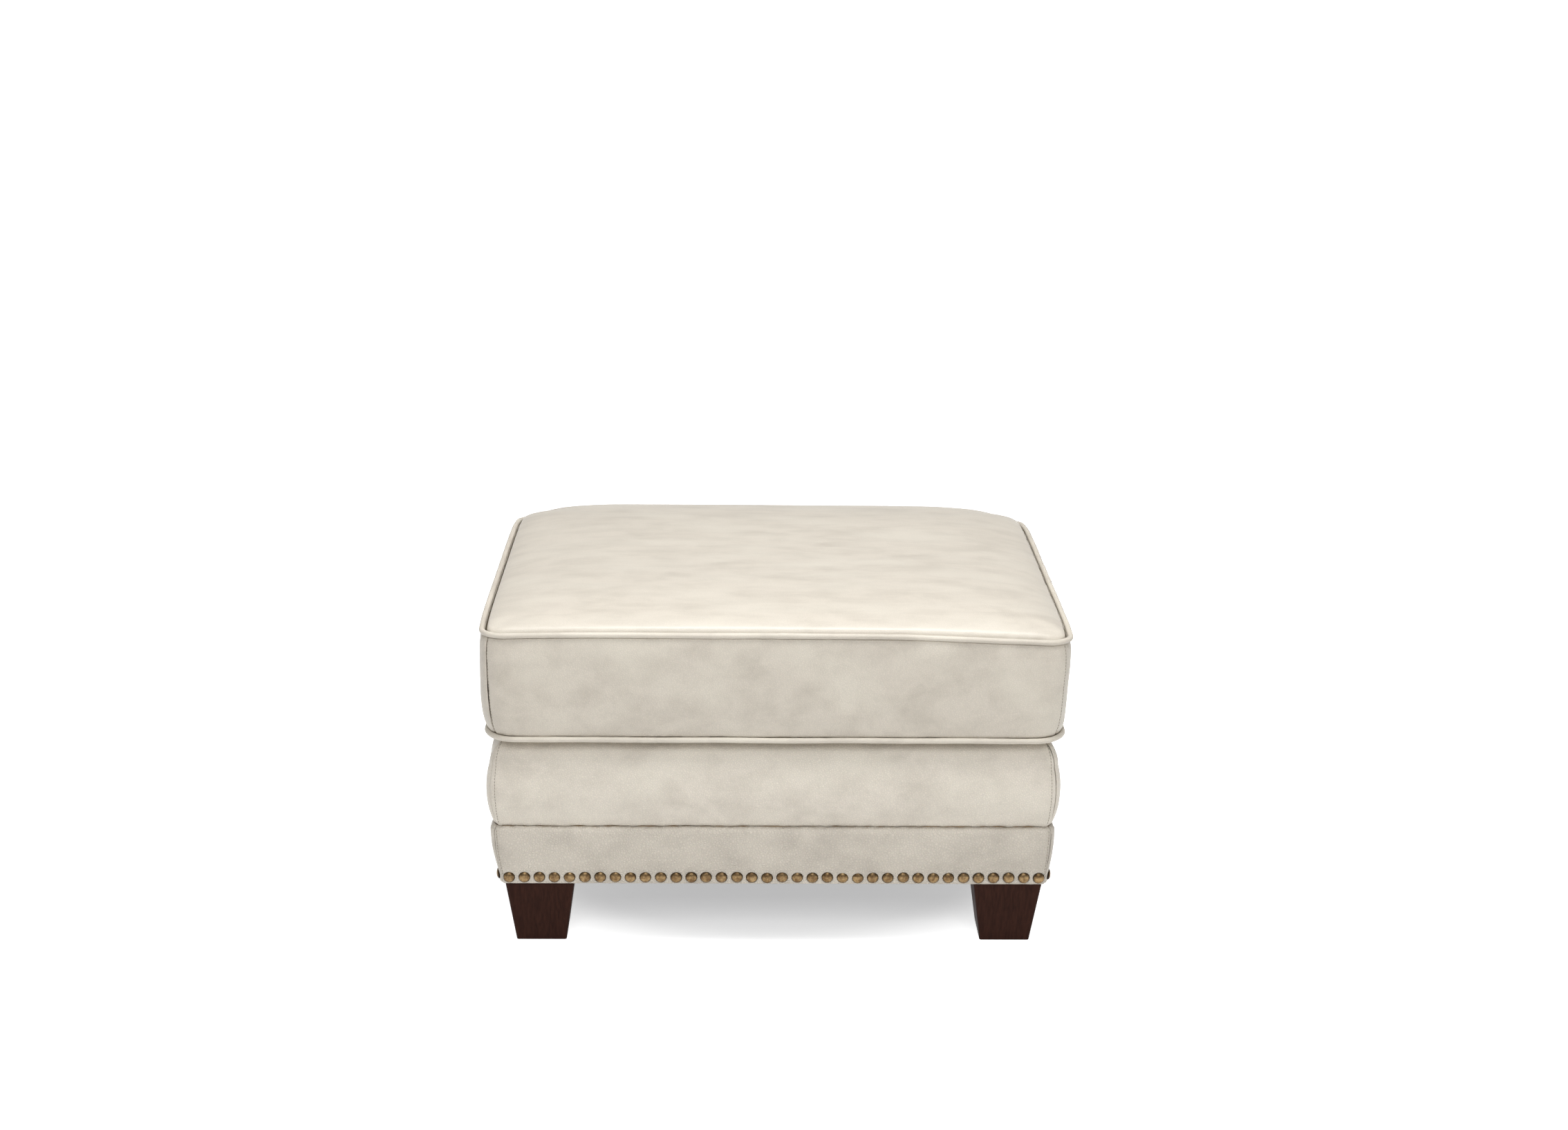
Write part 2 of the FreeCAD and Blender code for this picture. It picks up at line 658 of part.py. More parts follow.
# Springs: one wire each, bent into loops from rail to rail over an arch
def spring_path():
    """The middle line of a spring: cross wires along X joined by half circles."""
    clip_y, radius, middle = value("clip_y"), value("arch_radius"), value("arch_middle")
    gaps = 2 * round(value("2 * clip_y / loop_pitch") / 2) - 1
    rows = []
    for number in range(gaps + 1):
        y = -clip_y + 2 * clip_y * number / gaps
        rows.append(Vector(0, y, middle + math.sqrt(radius ** 2 - y ** 2)))
    reach = (value("spring_width - 2 * spring_wire") - (rows[1] - rows[0]).Length) / 2
    edges = [Part.makeLine(rows[0] - Vector(reach, 0, 0), rows[0] + Vector(reach, 0, 0))]
    side = 1
    for here, there in zip(rows, rows[1:]):
        out = Vector(side * reach, 0, 0)
        far = Vector(side * (there - here).Length / 2, 0, 0)
        start, end = here + out, there + out
        edges.append(Part.Arc(start, (start + end) / 2 + far, end).toShape())
        edges.append(Part.makeLine(end, there - out))
        side = -side
    return Part.Wire(edges)


SPRING_SLACK = 0.01


def spring_solid():
    """A spring's wire, with a check that its volume is its section times its length."""
    path = spring_path()
    start = path.Vertexes[0].Point
    section = Part.Wire([Part.makeCircle(value("spring_wire"), start, Vector(1, 0, 0))])
    solid = path.makePipeShell([section], True, True)
    expected = math.pi * value("spring_wire") ** 2 * path.Length
    if abs(solid.Volume - expected) > SPRING_SLACK * expected:
        raise ValueError("a spring has the wrong volume")
    return solid


spring_count = int(round(value("spring_count")))
spring_xs = [value("spring_pitch") * (n - (spring_count - 1) / 2) for n in range(spring_count)]
spring = spring_solid()
for number, x in enumerate(spring_xs, start=1):
    item = feature(f"spring_{number}", spring)
    item.Placement = Placement(Vector(x, 0, 0), Rotation())
    parts.append(item)


# Clips that hold the springs' ends on the front and back boards, and their nails
def clip_solid():
    """One clip: a plate on the board with an eye around the wire, at the wire's end."""
    width, plate = value("clip_width"), value("clip_plate")
    eye = value("spring_wire + clip_gap")
    half = eye + plate + value("clip_tail")
    low = -eye - plate
    base = Part.makeBox(width, 2 * half, plate, Vector(-width / 2, -half, low))
    ring = Part.makeCylinder(eye + plate, width, Vector(-width / 2, 0, 0), Vector(1, 0, 0))
    hole = Part.makeCylinder(eye, width, Vector(-width / 2, 0, 0), Vector(1, 0, 0))
    solid = base.fuse(ring).cut(hole).removeSplitter()
    for y in clip_nail_offsets():
        solid = solid.cut(Part.makeCylinder(value("clip_nail + clip_gap"), plate, Vector(0, y, low)))
    return solid


def clip_nail_offsets():
    """Where a clip's two nails are, in front of and behind its eye."""
    offset = value("spring_wire + clip_gap + clip_plate + clip_tail / 2")
    return (-offset, offset)


def clip_nail():
    """One nail, with its head's underside at the origin."""
    head = Part.makeCylinder(value("clip_nail_head"), value("clip_nail_plate"))
    length = value("clip_nail_length")
    return head.fuse(Part.makeCylinder(value("clip_nail"), length, Vector(0, 0, -length))).removeSplitter()


clip_y, wire_end_z = value("clip_y"), value("wire_end_z")
clip_spots = [Placement(Vector(x, y, wire_end_z), Rotation()) for x in spring_xs for y in (-clip_y, clip_y)]
parts.append(copies("spring_clips", clip_solid(), clip_spots))
plate_top = value("spring_rail_top + clip_plate")
parts.append(copies("clip_nails", clip_nail(), [
    Placement(Vector(x, y + offset, plate_top), Rotation())
    for x in spring_xs for y in (-clip_y, clip_y) for offset in clip_nail_offsets()
]))


# Tie wires
def tie_wire():
    """A wire that crosses under the springs and ends on the side boards."""
    radius, gap = value("tie_wire"), value("rest_gap")
    arch, place = value("arch_radius"), value("tie_place")
    high = value("arch_middle") + math.sqrt(arch ** 2 - place ** 2) - value("spring_wire") - radius - gap
    low = value("frame_top") + radius
    outer, inner = value("frame_x - rail / 2"), value("band_x - roll_in - rest_gap")
    shelf = max(abs(x) for x in spring_xs) + value("spring_width / 2")
    spots = [Vector(-outer, 0, low), Vector(-inner, 0, low), Vector(-shelf, 0, high),
             Vector(shelf, 0, high), Vector(inner, 0, low), Vector(outer, 0, low)]
    path = Part.Wire([Part.makeLine(a, b) for a, b in zip(spots, spots[1:])])
    section = Part.Wire([Part.makeCircle(radius, spots[0], Vector(1, 0, 0))])
    return path.makePipeShell([section], True, True, 1)


tie_spots = [Placement(Vector(0, side * value("tie_place"), 0), Rotation()) for side in (-1, 1)]
parts.append(copies("tie_wires", tie_wire(), tie_spots))

# Hessian over the springs, on the same arch
hessian = body("spring_cover")
low_end = "arch_middle + sqrt(hessian_under ^ 2 - (hessian_y) ^ 2)"
high_end = "arch_middle + sqrt(hessian_over ^ 2 - (hessian_y) ^ 2)"
profile = sketch(hessian, "profile", "YZ_Plane")
outline(profile, [
    ("-(hessian_y)", low_end, "hessian_under", -1), ("hessian_y", low_end),
    ("hessian_y", high_end, "hessian_over", 1), ("-(hessian_y)", high_end),
])
pad(hessian, profile, "2 * (hessian_x)", midplane=True)
parts.append(hessian)


def under_hessian(name, past_y, half_x):
    """Everything under the hessian's top, to cut the padding that lies on it."""
    tool = body(name)
    profile = sketch(tool, "profile", "YZ_Plane")
    end = f"(hessian_y + {past_y})"
    outline(profile, [
        (f"-{end}", "frame_bottom"), (end, "frame_bottom"), (end, high_end),
        ("hessian_y", high_end, "hessian_over", 1), ("-(hessian_y)", high_end), (f"-{end}", high_end),
    ])
    pad(tool, profile, f"2 * ({half_x})", midplane=True)
    return tool


# Rings around the base
def base_profile(owner, away, points):
    """A profile of the base's side that faces -Y. Points are (how far outside the lower band, z)."""
    profile = sketch(owner, "profile", "YZ_Plane")
    return outline(profile, [(f"-({away}) - ({p[0]})",) + tuple(p[1:]) for p in points])


def base_ring(name, points):
    """A profile carried round the lower band's outer line, with square corners."""
    ring = body(name)
    path = sketch(ring, "path", "XY_Plane")
    outline(path, [("-(band_x)", "-(band_y)"), ("band_x", "-(band_y)"),
                   ("band_x", "band_y"), ("-(band_x)", "band_y")])
    pipe(ring, base_profile(ring, "band_y", points), path, "Right corner")
    return ring


def base_sides(name, points):
    """The same profile as four pieces that meet in mitres at the corners."""
    found = []
    for side, (across, away, turn) in SIDES.items():
        run = body(f"{name}_{side}_run")
        pad(run, base_profile(run, away, points), f"2 * ({across} + {PAST})", midplane=True)
        run.Placement = Placement(Vector(), Rotation(Vector(0, 0, 1), turn))
        found.append(shared(f"{name}_{side}", run, MITRES[side]))
    return found


ROLL_TOP = "seat_height - leather - border_pad"
edge_ring = base_ring("edge_ring", [
    ("-(leather + batting)", "frame_top"), ("-(leather + batting)", "shoulder_z", "roll_radius", -1),
    ("-(shoulder_in)", ROLL_TOP), ("-(roll_in)", ROLL_TOP), ("-(roll_in)", "frame_top"),
])
tie_grooves = []
for side in (-1, 1):
    middle = signed(side, "tie_place")
    groove_end = "frame_x - rail / 2 + hole_deeper"
    tie_grooves.append(block(
        f"tie_groove_{'front' if side < 0 else 'back'}", (f"-({groove_end})", groove_end),
        (f"{middle} - tie_wire - rest_gap", f"{middle} + tie_wire + rest_gap"),
        ("frame_top", "frame_top + 2 * tie_wire + rest_gap"),
    ))
roll_tool = under_hessian("roll_tool", "hessian_end + batting", "hessian_x + rest_gap")
parts.append(cut("edge_roll", edge_ring, [roll_tool] + tie_grooves))

# The upper border's outline: a bulge from the junction to the shoulder, then the shoulder
BULGE_END = "(shoulder - shoulder_in)"
BULGE_HEIGHT = "(shoulder_z - junction_height)"
BULGE_CHORD = f"sqrt({BULGE_HEIGHT} ^ 2 + ({BULGE_END} - border_step) ^ 2)"
BULGE_DEEP = "(border_bulge - (shoulder - shoulder_in - border_step) / 2)"
BULGE_RADIUS = f"(({BULGE_CHORD} / 2) ^ 2 + {BULGE_DEEP} ^ 2) / (2 * {BULGE_DEEP})"

parts += base_sides("border", [
    ("border_step", "junction_height", BULGE_RADIUS, -1), (BULGE_END, "shoulder_z", "shoulder", -1),
    ("-(shoulder_in)", "seat_height"), ("-(shoulder_in) - rim_width", "seat_height"),
    ("-(shoulder_in) - rim_width", "foam_top"), ("-(shoulder_in)", "foam_top", "shoulder - leather", 1),
    (f"{BULGE_END} - leather", "shoulder_z", f"{BULGE_RADIUS} - leather", 1),
    ("border_step - leather", "junction_height"),
])

parts.append(base_ring("border_padding", [
    ("border_step - leather", "junction_height", f"{BULGE_RADIUS} - leather", -1),
    (f"{BULGE_END} - leather", "shoulder_z", "shoulder - leather", -1),
    ("-(shoulder_in)", "foam_top"), ("-(roll_in)", "foam_top"), ("-(roll_in)", ROLL_TOP),
    ("-(shoulder_in)", ROLL_TOP, "roll_radius", 1), ("-(leather + batting)", "shoulder_z"),
    ("-(leather + batting)", "junction_height"),
]))

# Card strip behind the junction, and batting under the lower band
STRIP_LOW = "junction_height - strip_height"
parts.append(base_ring("card_strip", [
    ("-(leather)", STRIP_LOW), ("-(leather)", "junction_height"),
    ("-(leather + batting)", "junction_height"), ("-(leather + batting)", STRIP_LOW),
]))
parts.append(base_ring("band_batting", [
    ("-(leather)", "frame_bottom"), ("-(leather)", STRIP_LOW),
    ("-(leather + batting)", STRIP_LOW), ("-(leather + batting)", "frame_bottom"),
]))

# Lower band: leather down the face, round the edge and in under the boards
LIP_IN = "(leather + batting + rail)"
parts += base_sides("band", [
    ("0", "junction_height"), ("0", "lip_bottom + band_edge", "band_edge", 1),
    ("-(band_edge)", "lip_bottom"), (f"-{LIP_IN}", "lip_bottom"), (f"-{LIP_IN}", "frame_bottom"),
    ("-(leather)", "frame_bottom"), ("-(leather)", "junction_height"),
])

# Deck: foam on the hessian, and a cloth inside the leather rim
foam_block = block(
    "deck_foam_block",
    ("-(band_x - roll_in - rest_gap)", "band_x - roll_in - rest_gap"),
    ("-(band_y - roll_in - rest_gap)", "band_y - roll_in - rest_gap"), ("frame_top", "foam_top"),
)
parts.append(cut("deck_foam", foam_block, [under_hessian("foam_tool", "hessian_end", "band_x")]))
parts.append(block("deck_cloth", ("-(deck_x)", "deck_x"), ("-(deck_y)", "deck_y"),
                   ("foam_top", "foam_top + deck_cloth")))


# Decorative nails: domed heads in a row along each side of the lower band
def nail_row(name, half_span, turn, away):
    """A row of nails for the side that faces -Y before it is turned."""
    row = body(name)
    row.AllowCompound = True
    span = f"(2 * ({half_span} - nail_corner))"
    gaps = f"round({span} / nail_pitch)"
    profile = sketch(row, "profile", "YZ_Plane", f"-{span} / 2")
    sphere = "(nail_head ^ 2 + nail_dome ^ 2) / (2 * nail_dome)"
    outline(profile, [("0", "0"), ("0", "nail_head", sphere, 1), ("-(nail_dome)", "0")])
    head = row.newObject("PartDesign::Revolution", name + "_head")
    head.Profile = profile
    head.ReferenceAxis = (profile, ["H_Axis"])
    head.Angle = 360
    section = sketch(row, "shank", "XZ_Plane")
    half = "nail_shank"
    outline(section, [(f"-{span} / 2 - {half}", f"-{half}"), (f"-{span} / 2 + {half}", f"-{half}"),
                      (f"-{span} / 2 + {half}", half), (f"-{span} / 2 - {half}", half)])
    shank = pad(row, section, "nail_length", reverse=True)
    pattern = row.newObject("PartDesign::LinearPattern", name + "_pattern")
    pattern.Originals = [head, shank]
    pattern.Direction = (plane(row, "X_Axis"), [""])
    bind(pattern, Length=span, Occurrences=gaps + " + 1")
    row.Tip = pattern
    row.Placement = Placement(Vector(), Rotation(Vector(0, 0, 1), turn))
    return put(row, *away, "nail_z")


parts.append(bundle("cover_nails", [
    nail_row("nails_front", "band_x", 0, ("0", "-(band_y)")),
    nail_row("nails_right", "band_y", 90, ("band_x", "0")),
    nail_row("nails_back", "band_x", 180, ("0", "band_y")),
    nail_row("nails_left", "band_y", 270, ("-(band_x)", "0")),
]))

# Dust cloth under the frame, with holes for the bolts, and its staples
cloth = block("dust_cloth_sheet", ("-(band_x - dust_inset)", "band_x - dust_inset"),
              ("-(band_y - dust_inset)", "band_y - dust_inset"), ("foot_height", "lip_bottom"))
holes = [rod(f"dust_hole_{n}", "bolt + bolt_gap", "dust_cloth", (x, y, "foot_height"))
         for n, (x, y) in enumerate(bolt_spots)]
parts.append(cut("dust_cover", cloth, holes))


def staple():
    """One staple with its crown along X and its legs up, the crown's top at the origin."""
    crown, wire, leg = value("staple_crown"), value("staple_wire"), value("staple_leg")
    outer = Part.makeBox(crown, wire, wire + leg, Vector(-crown / 2, -wire / 2, -wire))
    inner = Part.makeBox(crown - 2 * wire, wire, leg, Vector(wire - crown / 2, -wire / 2, 0))
    return outer.cut(inner)


def staple_places():
    """Rows along the four boards, from the middle out to the feet."""
    pitch, low = value("staple_pitch"), value("foot_height")
    row_x, row_y = value("frame_x - rail / 2"), value("frame_y - rail / 2")
    long_row = int(value("foot_x - foot_top / 2 - staple_from_foot") / pitch)
    short_row = int(value("foot_y - foot_top / 2 - staple_from_foot") / pitch)
    across = Rotation(Vector(0, 0, 1), 90)
    found = []
    for side in (-1, 1):
        for n in range(-long_row, long_row + 1):
            found.append(Placement(Vector(n * pitch, side * row_y, low), Rotation()))
        for n in range(-short_row, short_row + 1):
            found.append(Placement(Vector(side * row_x, n * pitch, low), across))
    return found


parts.append(copies("staples", staple(), staple_places()))


# Cushion: boxing between two lines of piping, cut at the corners and at the back zip
def boxing_sections(inset):
    """Three levels of the boxing, swollen at the middle, moved in by an inset."""
    low, high = "lower_welt_z + welt", "upper_welt_z - welt"
    corners = ("bottom_corner", "(bottom_corner + top_corner) / 2", "top_corner")
    found = []
    for swell, corner, z in zip(("0", "welt", "0"), corners, (low, "zip_z", high)):
        found.append((f"seam_x + {swell} - ({inset})", f"seam_y + {swell} - ({inset})",
                      f"{corner} + {swell} - ({inset})", z))
    return found


boxing_ring = body("boxing_ring")
loft(boxing_ring, boxing_sections("0"), ruled=False)
doc.recompute()
loft(boxing_ring, boxing_sections("leather"), taken_away=True, ruled=False)

for name in ("front", "left", "right"):
    parts.append(shared("boxing_" + name, boxing_ring, MITRES[name]))

back_boxing = shared("back_boxing", boxing_ring, MITRES["back"])
BACK_Y = (f"seam_y - {PAST}", f"seam_y + {PAST}")
upper_half = block("upper_half", ("-(cushion_width)", "cushion_width"), BACK_Y,
                   ("zip_z", "upper_welt_z"))
lower_half = block("lower_half", ("-(cushion_width)", "cushion_width"), BACK_Y,
                   ("lower_welt_z", "zip_z"))
opening = block("zip_slot", ("-zip_length / 2", "zip_length / 2"), BACK_Y,
                ("zip_z - zip_opening", "zip_z + zip_opening"))
for name, half in (("upper", upper_half), ("lower", lower_half)):
    strip = shared(f"back_{name}_half", back_boxing, half)
    parts.append(cut(f"boxing_back_{name}", strip, [opening]))


# Piping: a leather strip rolled round a cord, open where it is sewn in
def welt_path(owner, corner):
    """The middle line of the piping, on the cushion's outline."""
    path = sketch(owner, "path", "XY_Plane")
    return outline(path, rounded("seam_x", "seam_y", corner))


def on_section(radius, angle):
    """A point of the piping's section at the front, at an angle from the cushion's inside."""
    return f"({radius}) * cos({angle} * 1deg) - (seam_y)", f"({radius}) * sin({angle} * 1deg)"


def welt_pieces(name, corner, z, open_angle):
    """The leather and the cord of one line of piping; the slit faces open_angle in its section.

    Each arc of the leather is drawn in two, through the point opposite the slit.
    """
    cover = body(name + "_welt")
    path = welt_path(cover, corner)
    profile = sketch(cover, "profile", "YZ_Plane")
    outside, inside = "welt", "welt_cord + thread_gap"
    first, last = (f"({open_angle} {sign} welt_slit / 2)" for sign in "+-")
    opposite = f"({open_angle} + 180)"
    outline(profile, [
        on_section(outside, first) + (outside, 1), on_section(outside, opposite) + (outside, 1),
        on_section(outside, last), on_section(inside, last) + (inside, -1),
        on_section(inside, opposite) + (inside, -1), on_section(inside, first),
    ])
    pipe(cover, profile, path)
    core = body(name + "_welt_cord")
    path = welt_path(core, corner)
    profile = sketch(core, "profile", "YZ_Plane")
    circle(profile, "-(seam_y)", "0", "welt_cord")
    pipe(core, profile, path)
    return put(cover, z=z), put(core, z=z)


top_welt, top_cord = welt_pieces("top", "top_corner", "upper_welt_z", "-45")
bottom_welt, bottom_cord = welt_pieces("bottom", "bottom_corner", "lower_welt_z", "45")
parts += [top_welt, bottom_welt, bundle("welt_cords", [top_cord, bottom_cord])]

# Top panel: a pillow that rises steeply from the piping and levels out over the filling
CROWN_STEPS = 6


def crown_sections(inset, base, rise, run):
    """Levels of the crown, whose section is a quarter of an ellipse, run wide and rise high."""
    found = []
    for step in range(CROWN_STEPS + 1):
        turn = math.pi / 2 * step / CROWN_STEPS
        share = 1 - math.cos(turn)
        inward = f"({inset}) + {share:.4f} * ({run})"
        found.append((f"panel_x - ({inward})", f"panel_y - ({inward})",
                      f"top_corner + ({inward}) / 2", f"({base}) + {math.sin(turn):.4f} * ({rise})"))
    return found


top_panel = body("top_panel")
loft(top_panel, crown_sections("0", "upper_welt_z", "crown", "crown_run"))
doc.recompute()
loft(top_panel, crown_sections("leather", "upper_welt_z", "crown - leather", "crown_run - leather"), taken_away=True)
parts.append(top_panel)

# Bottom panel: flat on the deck
bottom_panel = body("bottom_panel")
plan = sketch(bottom_panel, "plan", "XY_Plane")
outline(plan, rounded("panel_x", "panel_y", "bottom_corner - welt - seam_gap"))
pad(bottom_panel, plan, "leather")
parts.append(put(bottom_panel, z="cushion_bottom"))

# Filling: a foam block, and a crowned layer of fibre on it
core = body("foam_core")
plan = sketch(core, "plan", "XY_Plane")
outline(plan, rounded("panel_x - fill_gap", "panel_y - fill_gap - zip_room", "bottom_corner"))
pad(core, plan, "upper_welt_z - foam_below - cushion_bottom - leather - fill_gap")
parts.append(put(core, z="cushion_bottom + leather + fill_gap / 2"))

fibre = body("fibre_layer")
loft(fibre, crown_sections("leather + fill_gap", "upper_welt_z - foam_below",
                           "crown + foam_below - leather - fill_gap", "crown_run - leather - fill_gap"))
parts.append(fibre)

# Zip: two tapes behind the back strips, the closed teeth, and an end stop at each end
tapes = []
for name, low in (("upper", "zip_z + chain_width / 2"), ("lower", "zip_z - chain_width / 2 - tape_width")):
    tapes.append(block(f"tape_{name}", ("-(zip_length / 2 + tape_past)", "zip_length / 2 + tape_past"),
                       ("tape_y - tape / 2", "tape_y + tape / 2"), (low, f"{low} + tape_width")))
parts.append(bundle("zip_tapes", tapes))
CHAIN_Y = ("tape_y - chain / 2", "tape_y + chain / 2")
CHAIN_Z = ("zip_z - chain_width / 2", "zip_z + chain_width / 2")
parts.append(bundle("zip_teeth", [
    block("stop_start", ("-zip_length / 2", "stop_length - zip_length / 2"), CHAIN_Y, CHAIN_Z),
    block("teeth", ("stop_length - zip_length / 2", "slider_x"), CHAIN_Y, CHAIN_Z),
    block("stop_end", ("zip_length / 2 - stop_length", "zip_length / 2"), CHAIN_Y, CHAIN_Z),
]))


# Slider: two plates joined by a post ahead of the teeth, with a bail for the tab
def slider_plan(owner, name, offset):
    """The outline of one of the slider's plates: straight at its nose, narrower at its tail."""
    half, nose = "slider_length / 2", "(slider_width / 2)"
    tail = "(chain_width / 2 + slide_gap)"
    plan = sketch(owner, name, "XZ_Plane", offset)
    return outline(plan, [
        (f"-({half})", f"-{tail}"), ("0", f"-{nose}"), (half, f"-{nose}"),
        (half, nose), ("0", nose), (f"-({half})", tail),
    ])


slider = body("zip_slider")
pad(slider, slider_plan(slider, "outer", "-(chain / 2 + slide_gap)"), "slider_plate", reverse=True)
post = sketch(slider, "post", "XZ_Plane", "-(chain / 2 + slide_gap)")
outline(post, [("slide_gap", "-post_tip"), ("slider_length / 2", "-post_root"),
               ("slider_length / 2", "post_root"), ("slide_gap", "post_tip")])
pad(slider, post, "chain + 2 * slide_gap")
pad(slider, slider_plan(slider, "inner", "chain / 2 + slide_gap"), "slider_plate")
FACE = "chain / 2 + slide_gap + slider_plate"
bail = sketch(slider, "bail", "XY_Plane", "-(bail_width)")
inner = "(bail_span - bail_wall)"
outline(bail, [
    ("-(bail_span)", FACE), ("-(bail_span)", f"{FACE} + bail_room + bail_wall"),
    ("bail_span", f"{FACE} + bail_room + bail_wall"), ("bail_span", FACE),
    (inner, FACE), (inner, f"{FACE} + bail_room"),
    (f"-{inner}", f"{FACE} + bail_room"), (f"-{inner}", FACE),
])
pad(slider, bail, "2 * bail_width")
parts.append(put(slider, "slider_x", "tape_y", "zip_z"))

# Pull tab: a flat tongue with a window at one end, whose end bar turns in the bail
tab = body("pull_tab")
plan = sketch(tab, "plan", "XZ_Plane")
half, arm = "tab_width / 2", "(bail_width + tab_gap)"
outline(plan, [
    ("tab_corner - tab_length", f"-({half})"), ("0", f"-({half})"),
    ("0", f"-{arm}"), ("-(tab_window)", f"-{arm}"), ("-(tab_window)", arm),
    ("0", arm), ("0", half), ("tab_corner - tab_length", half),
    ("-(tab_length)", f"{half} - tab_corner"), ("-(tab_length)", f"tab_corner - {half}"),
])
pad(tab, plan, "tab_plate", midplane=True)
bar = sketch(tab, "bar", "XY_Plane", f"-({half})")
circle(bar, "0", "0", "tab_plate / 2")
pad(tab, bar, "tab_width")
parts.append(put(tab, "slider_x", "hinge_y", "zip_z"))

# Build everything, check it, and write one file for each sub-part
doc.recompute()
for item in doc.Objects:
    if "Invalid" in item.State or "Error" in item.State:
        raise ValueError(f"{item.Name} failed: {item.State}")
os.makedirs("parts", exist_ok=True)
for item in parts:
    if item.Shape.isNull() or not item.Shape.isValid():
        raise ValueError(f"{item.Label} has a bad shape")
for item in parts:
    item.Shape.exportStep(f"parts/{item.Label}.step")
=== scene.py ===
"""The looks of a leather footstool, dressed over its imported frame.

Metres: X runs across, the front looks along -Y, Z is up and the floor is Z = 0, as in the frame.
Each leather piece is a grid worked out with numpy. Its rows go up or inwards and its columns run
anticlockwise seen from above, so its faces look outwards. Seams, gathers and soft waves are heights
added along the grid's own normals, and the leather's thickness comes last.
"""

import logging
import math
from dataclasses import dataclass, field
from enum import Enum, IntEnum
from typing import Optional, Sequence, TypeVar, Union

import bpy
import numpy as np
from mathutils import Matrix, Vector


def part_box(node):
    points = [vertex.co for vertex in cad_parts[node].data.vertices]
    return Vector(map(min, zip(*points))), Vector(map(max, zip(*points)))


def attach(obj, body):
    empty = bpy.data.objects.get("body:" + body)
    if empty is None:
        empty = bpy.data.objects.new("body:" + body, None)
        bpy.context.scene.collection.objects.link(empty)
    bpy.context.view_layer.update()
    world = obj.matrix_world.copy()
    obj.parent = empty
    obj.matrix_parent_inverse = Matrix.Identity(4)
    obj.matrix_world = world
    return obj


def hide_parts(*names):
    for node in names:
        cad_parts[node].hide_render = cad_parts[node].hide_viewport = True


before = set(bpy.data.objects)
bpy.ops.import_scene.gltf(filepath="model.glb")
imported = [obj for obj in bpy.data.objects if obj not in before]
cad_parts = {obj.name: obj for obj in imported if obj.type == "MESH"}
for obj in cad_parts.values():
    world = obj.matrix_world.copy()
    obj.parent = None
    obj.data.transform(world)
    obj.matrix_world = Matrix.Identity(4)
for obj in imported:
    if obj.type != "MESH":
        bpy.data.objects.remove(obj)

MM = 0.001
TINY = 1e-12
MITRE = math.pi / 4
UP = np.array((0.0, 0.0, 1.0))
LOG = logging.getLogger("footstool")
Socket = Union[bpy.types.NodeSocket, float, tuple]
Rows = Union[float, Sequence[float], np.ndarray]
Value = TypeVar("Value")


class Seed(IntEnum):
    """Which random pattern each piece's relief uses; a wall adds its side's number to it."""

    NAILS = 5
    BORDER_WAVES = 11
    BORDER_RIPPLES = 21
    BORDER_GATHERS = 31
    BAND_WAVES = 41
    BAND_GATHERS = 51
    TOP_WAVES = 61
    TOP_RIPPLES = 62
    TOP_SLACK = 63
    TOP_GATHERS = 64
    BOXING = 71
    BACK_STRIPS = 101
    BOTTOM = 111
    PIPING_LINE = 121
    PIPING_SKIN = 131
    ZIP_TAPE = 141
    DECK_CLOTH = 151
    DUST_CLOTH = 161


# Nodes and colours


def linear(code: str) -> tuple[float, float, float, float]:
    """Turn an sRGB hex colour into linear light, by the standard curve.

    Args:
        code: Six hex digits, such as "D5CDBF".

    Returns:
        Red, green, blue and an opaque alpha.
    """
    shares = [int(code[place:place + 2], 16) / 255 for place in (0, 2, 4)]
    light = [s / 12.92 if s <= 0.04045 else ((s + 0.055) / 1.055) ** 2.4 for s in shares]
    return (*light, 1.0)


def add_node(
    tree: bpy.types.NodeTree, kind: str, sockets: Optional[dict[Union[int, str], Socket]] = None,
    **settings: str,
) -> bpy.types.Node:
    """Add a node with its settings, its sockets' values and its links.

    Args:
        tree: The tree to add it to.
        kind: Blender's name of the node's type.
        sockets: For each input, by name or number, the value it holds or the output it is linked to.
        settings: Properties of the node itself.

    Returns:
        The node.
    """
    node = tree.nodes.new(kind)
    for name, value in settings.items():
        setattr(node, name, value)
    for name, value in (sockets or {}).items():
        if isinstance(value, bpy.types.NodeSocket):
            tree.links.new(value, node.inputs[name])
        else:
            node.inputs[name].default_value = value
    return node


